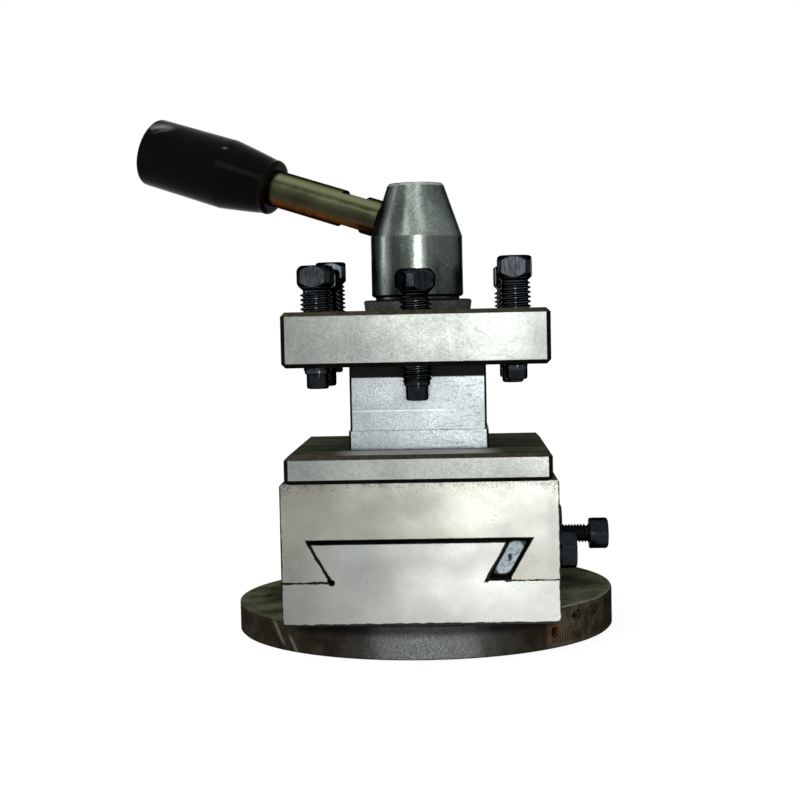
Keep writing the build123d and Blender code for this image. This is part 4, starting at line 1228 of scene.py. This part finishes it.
def washer_black(name, tone):
    """Thick washer, black and gritty, with a grey bloom on its edge."""
    finish = Finish(name, specular=0.1, rim=0.3)
    grit = finish.cloud(0.0007, 3, 0.8)
    bloom = finish.cloud(0.008, 4, 0.6, shift=(0.1, 0.6, 0.2))
    level = finish.both(finish.over(grit, 0.34, 0.68, 0.6, 1.7), finish.swing(bloom, 0.7, 1.5))
    colour = finish.scaled(tone, level)
    up = finish.over(finish.split(finish.facing)[2], 0.4, 0.7)
    colour = finish.blend(up, colour, (0.006, 0.006, 0.005))
    finish.bump(0.0003, (grit, 0.00004))
    return finish.close(colour, 0.55, 0.6)


def gib_steel(name, tone, mark):
    """Ground gib: cold grey and mottled, with a black spot in the middle of its end."""
    finish = Finish(name, specular=0.1)
    mottle = finish.cloud(0.0016, 4, 0.75)
    colour = finish.scaled(tone, finish.over(mottle, 0.32, 0.68, 0.58, 1.42))
    ragged = finish.wobble(finish.cloud(0.0016, 3, 0.7, shift=(0.5, 0.5, 0.1)), 0.002)
    spot = finish.plus(finish.far_from(mark, (1.0, 0.2, 0.55)), ragged)
    spot = finish.both(finish.over(spot, 0.0010, 0.0006), 0.92)
    # Black oil and painted shade on its edges and in its corners
    oil_and_shade = old_oil(finish, (0.3, 0.2, 0.6), width=0.0005, crevices=0.6)[0]
    # Black in its two sharp corners, as distances along the flank's normal
    x, _, z = finish.split(finish.place)
    lean = finish.plus(finish.both(x, cos(pi / 6)), finish.both(z, 0.5))
    sharp = finish.either(finish.over(lean, 0.0421, 0.0415), finish.over(lean, 0.0547, 0.0553))
    black = finish.either(spot, oil_and_shade, finish.both(sharp, 0.9))
    colour = finish.blend(black, colour, (0.010, 0.011, 0.012))
    finish.bump(0.0003, (mottle, 0.00005))
    return finish.close(colour, 0.42, 1.0)


def plain_metal(name, tone, rough=0.3):
    """Plain machined metal with a fine grain."""
    finish = Finish(name, specular=0.3)
    film = finish.cloud(0.008, 4, 0.6)
    grain = finish.cloud(0.0016, 3, 0.7)
    colour = finish.blend(finish.swing(film), times(tone, 0.75), times(tone, 1.2))
    colour = finish.blend(finish.swing(grain, 0.2, 0.0), colour, (0, 0, 0))
    # Painted shade in the corners
    colour = finish.blend(finish.both(finish.corners(0.003), 0.7), colour, (0.03, 0.027, 0.02))
    finish.bump(0.0004, (grain, 0.00003))
    return finish.close(colour, finish.swing(film, rough, rough + 0.12), 1.0)


def engraved(name):
    """Paint in the engraved lines and numerals, worn in places."""
    finish = Finish(name, specular=0.0)
    wear_and_front_sheen = finish.over(finish.cloud(0.003, 3, 0.6), 0.35, 0.7)
    colour = finish.blend(wear_and_front_sheen, (0.003, 0.003, 0.002), (0.014, 0.012, 0.008))
    return finish.close(colour, 0.7, 0.0)


# Studio


def seen_rays(tree):
    """Camera, mirrored and refracted rays as one mask."""
    rays = tree.nodes.new("ShaderNodeLightPath")
    total = rays.outputs["Is Camera Ray"]
    for kind in ("Is Glossy Ray", "Is Transmission Ray"):
        add = tree.nodes.new("ShaderNodeMath")
        add.operation = "ADD"
        add.use_clamp = True
        tree.links.new(total, add.inputs[0])
        tree.links.new(rays.outputs[kind], add.inputs[1])
        total = add.outputs[0]
    return total


def lay_floor(scene, tone):
    """Pale floor that keeps the object's shadow, white where it is seen or mirrored."""
    bm = bmesh.new()
    bmesh.ops.create_grid(bm, x_segments=1, y_segments=1, size=FLOOR_REACH)
    mesh = bpy.data.meshes.new("floor")
    bm.to_mesh(mesh)
    bm.free()
    floor = bpy.data.objects.new("floor", mesh)
    scene.collection.objects.link(floor)
    material = bpy.data.materials.new("floor_paint")
    material.use_nodes = True
    tree = material.node_tree
    tree.nodes.clear()
    output = tree.nodes.new("ShaderNodeOutputMaterial")
    paint = tree.nodes.new("ShaderNodeBsdfPrincipled")
    paint.inputs["Base Color"].default_value = (*times(tone, FLOOR_SHADE), 1)
    paint.inputs["Roughness"].default_value = 1.0
    paint.inputs["Specular IOR Level"].default_value = 0.0
    paint.inputs["Emission Color"].default_value = (1, 1, 1, 1)
    glow = tree.nodes.new("ShaderNodeMath")
    glow.operation = "MULTIPLY"
    glow.inputs[1].default_value = FLOOR_SEEN
    tree.links.new(seen_rays(tree), glow.inputs[0])
    tree.links.new(glow.outputs[0], paint.inputs["Emission Strength"])
    tree.links.new(paint.outputs[0], output.inputs["Surface"])
    mesh.materials.append(material)


def put_surround(scene, strength):
    """Surround that is white where it is seen or mirrored, and softer on matt surfaces."""
    world = bpy.data.worlds.new("surround")
    scene.world = world
    world.use_nodes = True
    tree = world.node_tree
    tree.nodes.clear()
    output = tree.nodes.new("ShaderNodeOutputWorld")
    background = tree.nodes.new("ShaderNodeBackground")
    background.inputs["Color"].default_value = (1, 1, 1, 1)
    level = tree.nodes.new("ShaderNodeMapRange")
    level.inputs["To Min"].default_value = strength
    level.inputs["To Max"].default_value = 1.0
    tree.links.new(seen_rays(tree), level.inputs["Value"])
    tree.links.new(level.outputs[0], background.inputs["Strength"])
    tree.links.new(background.outputs[0], output.inputs["Surface"])


def hang_lamp(scene, name, place, size, power):
    """One rectangular lamp that faces the object and isn't seen itself."""
    light = bpy.data.lights.new(name, "AREA")
    light.shape = "RECTANGLE"
    light.size, light.size_y = size
    light.energy = power
    lamp = bpy.data.objects.new(name, light)
    scene.collection.objects.link(lamp)
    lamp.visible_camera = False
    lamp.location = place
    ahead = Vector(LAMP_TARGET) - Vector(place)
    lamp.rotation_euler = ahead.to_track_quat("-Z", "Y").to_euler()


def set_camera(scene, focal_length):
    """Camera at the photograph's place."""
    yaw, pitch, roll = CAMERA_YAW, CAMERA_PITCH, CAMERA_ROLL
    ahead = Vector((sin(yaw) * cos(pitch), cos(yaw) * cos(pitch), -sin(pitch)))
    right = Vector((cos(yaw), -sin(yaw), 0))
    up = right.cross(ahead)
    right, up = cos(roll) * right + sin(roll) * up, cos(roll) * up - sin(roll) * right
    lens = bpy.data.cameras.new("camera")
    lens.lens = focal_length
    lens.sensor_width = SENSOR_WIDTH
    lens.clip_start = NEAREST_SEEN
    camera = bpy.data.objects.new("camera", lens)
    scene.collection.objects.link(camera)
    turn_to = Matrix((right, up, -ahead)).transposed().to_4x4()
    camera.matrix_world = Matrix.Translation(CAMERA_PLACE) @ turn_to
    scene.camera = camera


# Operators, one for each piece or group of like pieces


class TOOLPOST_OT_iron_parts(bpy.types.Operator):
    """Finish the swivel base, top slide, gib strip and bearing bracket"""

    bl_idname = "toolpost.iron_parts"
    bl_label = "Iron Parts"

    def execute(self, context):
        colours = context.scene.tool_post.colours
        low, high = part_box("top_slide")
        dress(swivel_iron("base_iron", colours, low.z), "swivel_base")
        dress(slide_iron("slide_iron", colours, low.z, high.z), "top_slide")
        dress(bracket_iron("bracket_iron", colours), "bearing_bracket")
        mark = middle("gib_strip")
        mark.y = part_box("gib_strip")[0].y
        dress(gib_steel("gib_steel", colours.gib_steel, mark), "gib_strip")
        return {"FINISHED"}


class TOOLPOST_OT_post_block(bpy.types.Operator):
    """Finish the tool post block, its washer and its stud"""

    bl_idname = "toolpost.post_block"
    bl_label = "Post Block"

    def execute(self, context):
        colours = context.scene.tool_post.colours
        low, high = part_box("tool_post_block")
        steel = post_steel("post_steel", colours, low.z + SEAT_PLATE, high.z - TOP_PLATE)
        dress(steel, "tool_post_block")
        dress(washer_black("washer_black", WASHER_BLACK), "post_washer")
        dress(plain_metal("stud_steel", STUD_STEEL), "centre_stud")
        return {"FINISHED"}


class TOOLPOST_OT_clamp_screws(bpy.types.Operator):
    """Model the eight clamp screws with their square heads, threads and dog points"""

    bl_idname = "toolpost.clamp_screws"
    bl_label = "Clamp Screws"

    def execute(self, context):
        sizes = context.scene.tool_post.clamp_screws
        tone = context.scene.tool_post.colours.black_oxide
        finish = threaded_black("screw_thread", tone)
        head_finish = black_oxide("screw_head", tone, wear_and_front_sheen=2.0)
        for name, degrees in zip(CLAMP_SCREWS, HEAD_TURNS):
            node = f"clamp_screw_{name}"
            low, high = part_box(node)
            length = high.z - low.z
            # The head, turned and then milled square with blunt corners
            flats = sizes.across_flats / 2
            blank = sizes.head_blank
            outline = (
                (0, 0),
                (flats - 0.0005, 0),
                (flats, 0.0003),
                (blank, 0.0021),
                (blank, sizes.head_height - 0.0024),
                (flats - 0.0001, sizes.head_height - 0.0004),
                (flats - 0.0009, sizes.head_height),
                (0, sizes.head_height),
            )
            head = bmesh.new()
            turn(head, outline)
            mill_flats(head, 4, flats)
            mill_flats(head, 4, sizes.head_corner, tau / 8)
            soften(head, 0.0003)
            lift = Matrix.Translation((0, 0, length - sizes.head_height))
            lift = lift @ Matrix.Rotation(radians(degrees), 4, "Z")
            bmesh.ops.transform(head, matrix=lift, verts=head.verts)
            for face in head.faces:
                face.material_index = 1
            # The shank with its thread and its point
            shank = bmesh.new()
            root = sizes.shank_radius - sizes.thread_depth
            neck = length - sizes.head_height
            thread_top = neck - sizes.neck_length
            tip = sizes.point_length
            outline = (
                (0, 0),
                (sizes.point_radius - 0.0008, 0),
                (sizes.point_radius - 0.0002, 0.0003),
                (sizes.point_radius, 0.0010),
                (sizes.point_radius, tip - 0.0004),
                (root, tip),
                (root, thread_top),
                (sizes.neck_radius, thread_top + 0.0002),
                (sizes.shank_radius, neck),
                (sizes.shank_radius, neck + 0.0005),
                (0, neck + 0.0005),
            )
            turn(shank, outline, 48)
            wind_thread(
                shank,
                root,
                sizes.shank_radius,
                sizes.pitch,
                tip + 0.0006,
                thread_top - 0.0003,
                crest_share=0.2,
                lead=sizes.thread_depth / sizes.run_out,
            )
            mesh = bpy.data.meshes.new("head")
            head.to_mesh(mesh)
            head.free()
            shank.from_mesh(mesh)
            bpy.data.meshes.remove(mesh)
            centre = middle(node)
            placing = Matrix.Translation((centre.x, centre.y, low.z))
            seat(
                shank,
                f"screw_{name}",
                f"screw_{name}",
                finish,
                [node],
                placing,
                other=head_finish,
            )
        return {"FINISHED"}


class TOOLPOST_OT_side_screws(bpy.types.Operator):
    """Model the locking screw and the locking nuts of the gib screws"""

    bl_idname = "toolpost.side_screws"
    bl_label = "Side Screws"

    def execute(self, context):
        sizes = context.scene.tool_post.side_screws
        colours = context.scene.tool_post.colours
        finish = black_oxide("side_screw_black", colours.black_oxide, 0.2, 0.25)
        low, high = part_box("slide_lock_screw")
        length = high.x - low.x
        head = (high.z - low.z) / 2
        head_length = 0.008
        socket_depth = 0.004
        seat_at = length - head_length
        crest = 0.004
        root = crest - sizes.thread_depth
        thread_end = seat_at - sizes.plain_shank
        point = 0.003
        bm = bmesh.new()
        outline = (
            (0, 0),
            (point - 0.0006, 0),
            (point, 0.0006),
            (point, 0.003),
            (root, 0.0034),
            (root, thread_end),
            (crest, thread_end + 0.0006),
            (crest, seat_at),
            (head - 0.0004, seat_at),
            (head, seat_at + 0.0004),
            (head, length - 0.0010),
            (head - 0.0003, length - 0.0004),
            (head - 0.0010, length),
            (sizes.socket * 0.62, length),
        )
        turn(bm, outline, 72)
        sink_hexagon(bm, sizes.socket, socket_depth, length)
        wind_thread(bm, root, crest, sizes.pitch, 0.0040, thread_end - 0.0002)
        centre = middle("slide_lock_screw")
        placing = aimed((1, 0, 0), (low.x, centre.y, centre.z))
        seat(bm, "lock_screw", "lock", finish, ["slide_lock_screw"], placing)
        # Locking nuts, turned and then milled to hexagons
        flats = sizes.nut_flats / 2
        corner = 1.17 * flats
        for number in (1, 2, 3):
            node = f"gib_nut_{number}"
            low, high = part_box(node)
            height = high.x - low.x
            outline = (
                (sizes.nut_bore, 0),
                (sizes.face_radius - 0.0002, 0),
                (sizes.face_radius, 0.0002),
                (sizes.face_radius, sizes.face_height),
                (flats, sizes.face_height),
                (corner, sizes.face_height + 0.0006),
                (corner, height - 0.0008),
                (flats * 0.96, height),
                (sizes.nut_bore + 0.0005, height),
                (sizes.nut_bore, height - 0.0005),
                (sizes.nut_bore, 0),
            )
            bm = bmesh.new()
            turn(bm, outline)
            mill_flats(bm, 6, flats, sizes.nut_turn)
            centre = middle(node)
            placing = aimed((1, 0, 0), (low.x, centre.y, centre.z))
            name = f"locking_nut_{number}"
            seat(bm, name, "slide", finish, [node], placing)
        dress(finish, "gib_screw_1", "gib_screw_2", "gib_screw_3", "nut_bolt", "bolt_lock_nut")
        dress(finish, "bracket_screw_left", "bracket_screw_right")
        return {"FINISHED"}


class TOOLPOST_OT_clamp_lever(bpy.types.Operator):
    """Finish the clamp nut, the lever's rod and its knob"""

    bl_idname = "toolpost.clamp_lever"
    bl_label = "Clamp Lever"

    def execute(self, context):
        colours = context.scene.tool_post.colours
        dress(turned_steel("nut_steel", colours.turned_steel), "clamp_nut")
        dress(passivated("rod_passivate", colours.passivate), "lever_rod")
        dress(moulded("knob_phenolic", colours.phenolic, KNOB_PAINTED_HIGHLIGHTS), "lever_knob")
        return {"FINISHED"}


class TOOLPOST_OT_graduations(bpy.types.Operator):
    """Engrave the lines and numerals round the swivel base"""

    bl_idname = "toolpost.graduations"
    bl_label = "Graduations"

    def execute(self, context):
        sizes = context.scene.tool_post.graduations
        finish = engraved("engraving_paint")
        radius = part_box("swivel_base")[1].x
        bm = bmesh.new()
        for degree in range(-sizes.last_degree, sizes.last_degree + 1):
            tall = sizes.long_line if degree % 10 == 0 else sizes.short_line
            if degree % 10 and degree % 5 == 0:
                tall = (sizes.long_line + sizes.short_line) / 2
            placing = (
                Matrix.Rotation(radians(degree), 4, "Z")
                @ Matrix.Translation((radius - 0.0001, 0, sizes.line_foot + tall / 2))
                @ Matrix.Diagonal((ENGRAVED, sizes.line_width, tall, 1))
            )
            bmesh.ops.create_cube(bm, size=1, matrix=placing)
        for degree in range(-40, 41, 10):
            numeral = numeral_mesh(str(abs(degree)), sizes.numeral_height, ENGRAVED)
            stand = Matrix(((0, 0, 1, 0), (1, 0, 0, 0), (0, 1, 0, 0), (0, 0, 0, 1)))
            placing = (
                Matrix.Rotation(radians(degree), 4, "Z")
                @ Matrix.Translation((radius - 0.00011, 0, sizes.numeral_foot))
                @ stand
            )
            numeral.transform(placing)
            bm.from_mesh(numeral)
            bpy.data.meshes.remove(numeral)
        seat(bm, "disc_graduations", "base", finish)
        return {"FINISHED"}


class TOOLPOST_OT_feed_parts(bpy.types.Operator):
    """Model the feed screw's thread, knurl and mark the dial, and finish the crank"""

    bl_idname = "toolpost.feed_parts"
    bl_label = "Feed Parts"

    def execute(self, context):
        sizes = context.scene.tool_post.feed
        marks = context.scene.tool_post.graduations
        colours = context.scene.tool_post.colours
        steel = plain_metal("feed_steel", FEED_STEEL, 0.28)
        chrome = plain_metal("satin_chrome", SATIN_CHROME, 0.26)
        paint = engraved("dial_paint")
        # Feed screw
        low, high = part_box("feed_screw")
        front, rear = low.y, high.y
        dial_low, dial_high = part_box("feed_dial")
        crank_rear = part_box("crank")[1].y
        collar_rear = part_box("top_slide")[1].y - 0.0001
        axis_z = middle("feed_dial").z
        crest, collar, journal, tail, tail_crest = 0.006, 0.0074, 0.005, 0.0034, 0.004
        outline = (
            (0, front),
            (sizes.root_radius - 0.001, front),
            (sizes.root_radius, front + 0.001),
            (sizes.root_radius, collar_rear - 0.006),
            (0.0045, collar_rear - 0.004),
            (collar, collar_rear - 0.004),
            (collar, collar_rear),
            (journal, collar_rear),
            (journal, crank_rear),
            (tail, crank_rear),
            (tail, rear - 0.0004),
            (tail - 0.0004, rear),
            (0, rear),
        )
        bm = bmesh.new()
        turn(bm, outline, 48)
        wind_thread(
            bm,
            sizes.root_radius,
            crest,
            sizes.pitch,
            front + 0.0012,
            collar_rear - 0.0075,
            crest_share=0.36,
        )
        wind_thread(bm, tail, tail_crest, 0.00125, crank_rear + 0.0004, rear - 0.0006)
        placing = aimed((0, 1, 0), (0, 0, axis_z))
        seat(bm, "feed_thread", "feed", steel, ["feed_screw"], placing)
        # Knurled ring on the dial's hub
        bm = bmesh.new()
        ring = bmesh.ops.create_circle(bm, segments=2 * sizes.knurls, radius=KNURL_GROOVE)
        for vert in ring["verts"][::2]:
            vert.co *= KNURL_RIDGE / KNURL_GROOVE
        wall = bmesh.ops.extrude_edge_only(bm, edges=bm.edges[:])
        far = [item for item in wall["geom"] if isinstance(item, bmesh.types.BMVert)]
        bmesh.ops.translate(bm, verts=far, vec=(0, 0, KNURL_WIDTH))
        for height in (0.0, KNURL_WIDTH):
            rim = [edge for edge in bm.edges if edge.is_boundary]
            rim = [edge for edge in rim if abs(edge.verts[0].co.z - height) < 1e-6]
            inner = bmesh.ops.extrude_edge_only(bm, edges=rim)
            verts = [item for item in inner["geom"] if isinstance(item, bmesh.types.BMVert)]
            bmesh.ops.scale(bm, vec=(0.93, 0.93, 1), verts=verts)
            bmesh.ops.translate(bm, verts=verts, vec=(0, 0, 0.0005 if height else -0.0005))
        placing = aimed((0, 1, 0), (0, dial_high.y - 0.0044, axis_z))
        seat(bm, "dial_knurl", "feed", chrome, placing=placing, smooth=radians(20))
        # Lines and numerals round the dial
        bm = bmesh.new()
        front = dial_low.y + 0.001
        for count in range(marks.dial_divisions):
            tall = 0.0046 if count % 10 == 0 else 0.0036 if count % 5 == 0 else 0.0026
            stand = Matrix.Translation((0, 0, axis_z)) @ Matrix.Rotation(
                -tau * count / marks.dial_divisions, 4, "Y"
            )
            placing = (
                stand
                @ Matrix.Translation((0, front + tall / 2, DIAL_RADIUS - 0.00004))
                @ Matrix.Diagonal((0.00025, tall, ENGRAVED, 1))
            )
            bmesh.ops.create_cube(bm, size=1, matrix=placing)
            if count % 10 == 0:
                numeral = numeral_mesh(str(count), DIAL_NUMERAL, ENGRAVED)
                numeral.transform(
                    stand
                    @ Matrix.Translation((0, front + 0.0072, DIAL_RADIUS - 0.00004))
                    @ Matrix.Rotation(pi, 4, "Z")
                )
                bm.from_mesh(numeral)
                bpy.data.meshes.remove(numeral)
        seat(bm, "dial_marks", "feed", paint)
        dress(chrome, "feed_dial", "crank")
        dress(steel, "crank_nut", "grip_pin", "index_plunger")
        dress(plain_metal("bronze", colours.bronze, 0.35), "feed_nut")
        dress(moulded("grip_phenolic", colours.phenolic), "crank_grip")
        return {"FINISHED"}


class TOOLPOST_OT_index_spring(bpy.types.Operator):
    """Coil the spring under the index plunger"""

    bl_idname = "toolpost.index_spring"
    bl_label = "Index Spring"

    def execute(self, context):
        steel = plain_metal("spring_steel", SPRING_STEEL)
        low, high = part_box("index_spring")
        height = high.z - low.z
        wire = 0.0004
        bm = bmesh.new()
        ring = bmesh.ops.create_circle(bm, cap_ends=True, segments=10, radius=wire)
        radius = (high.x - low.x) / 2 - wire
        stand = Matrix.Translation((radius, 0, wire)) @ Matrix.Rotation(pi / 2, 4, "X")
        bmesh.ops.transform(bm, matrix=stand, verts=ring["verts"])
        turns = 6
        steps = 24 * turns
        bmesh.ops.spin(
            bm,
            geom=bm.faces[:],
            cent=(0, 0, 0),
            axis=(0, 0, 1),
            dvec=(0, 0, (height - 2 * wire) / steps),
            angle=tau * turns,
            steps=steps,
        )
        centre = middle("index_spring")
        foot = (centre.x, centre.y, low.z)
        placing = Matrix.Translation(foot)
        coil = seat(bm, "spring_coil", "slide", steel, ["index_spring"], placing)
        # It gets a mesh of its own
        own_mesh(coil)
        return {"FINISHED"}


class TOOLPOST_OT_studio(bpy.types.Operator):
    """Set the floor, surround, lamps and camera"""

    bl_idname = "toolpost.studio"
    bl_label = "Studio"

    def execute(self, context):
        scene = context.scene
        settings = scene.tool_post.studio
        scene.view_settings.view_transform = "Standard"
        lay_floor(scene, scene.tool_post.colours.floor)
        put_surround(scene, settings.surround)
        # Each lamp's name, place, size and power
        lamps = (
            ("key_lamp", (0.06, -1.20, 0.165), (0.25, 0.06), settings.key_power),
            ("low_lamp", (0.11, -0.50, 0.088), (0.035, 0.02), settings.low_power),
            ("side_lamp", (-0.60, -0.03, 0.30), (0.06, 0.50), settings.side_power),
            ("fill_lamp", (-0.52, -1.0, 0.80), (0.35, 0.35), settings.fill_power),
        )
        for lamp in lamps:
            hang_lamp(scene, *lamp)
        set_camera(scene, settings.lens)
        return {"FINISHED"}


OPERATORS = (
    TOOLPOST_OT_iron_parts,
    TOOLPOST_OT_post_block,
    TOOLPOST_OT_clamp_screws,
    TOOLPOST_OT_side_screws,
    TOOLPOST_OT_clamp_lever,
    TOOLPOST_OT_graduations,
    TOOLPOST_OT_feed_parts,
    TOOLPOST_OT_index_spring,
    TOOLPOST_OT_studio,
)


class TOOLPOST_PT_sidebar(bpy.types.Panel):
    """Lists the operators in the order in which they run"""

    bl_idname = "TOOLPOST_PT_sidebar"
    bl_label = "Tool Post"
    bl_space_type = "VIEW_3D"
    bl_region_type = "UI"
    bl_category = "Tool Post"

    def draw(self, context):
        for operator in OPERATORS:
            self.layout.operator(operator.bl_idname)


CLASSES = (
    ClampScrewSizes,
    SideScrewSizes,
    GraduationSizes,
    FeedSizes,
    FinishColours,
    StudioSettings,
    ToolPostSettings,
    *OPERATORS,
    TOOLPOST_PT_sidebar,
)


def register():
    """Register the classes and the scene's settings."""
    for item in CLASSES:
        bpy.utils.register_class(item)
    bpy.types.Scene.tool_post = PointerProperty(type=ToolPostSettings)


def unregister():
    """Take the classes and the settings away again."""
    del bpy.types.Scene.tool_post
    for item in reversed(CLASSES):
        bpy.utils.unregister_class(item)


def main():
    """Make every piece and the studio."""
    register()
    bpy.ops.toolpost.iron_parts()
    bpy.ops.toolpost.post_block()
    bpy.ops.toolpost.clamp_screws()
    bpy.ops.toolpost.side_screws()
    bpy.ops.toolpost.clamp_lever()
    bpy.ops.toolpost.graduations()
    bpy.ops.toolpost.feed_parts()
    bpy.ops.toolpost.index_spring()
    bpy.ops.toolpost.studio()


if __name__ == "__main__":
    main()
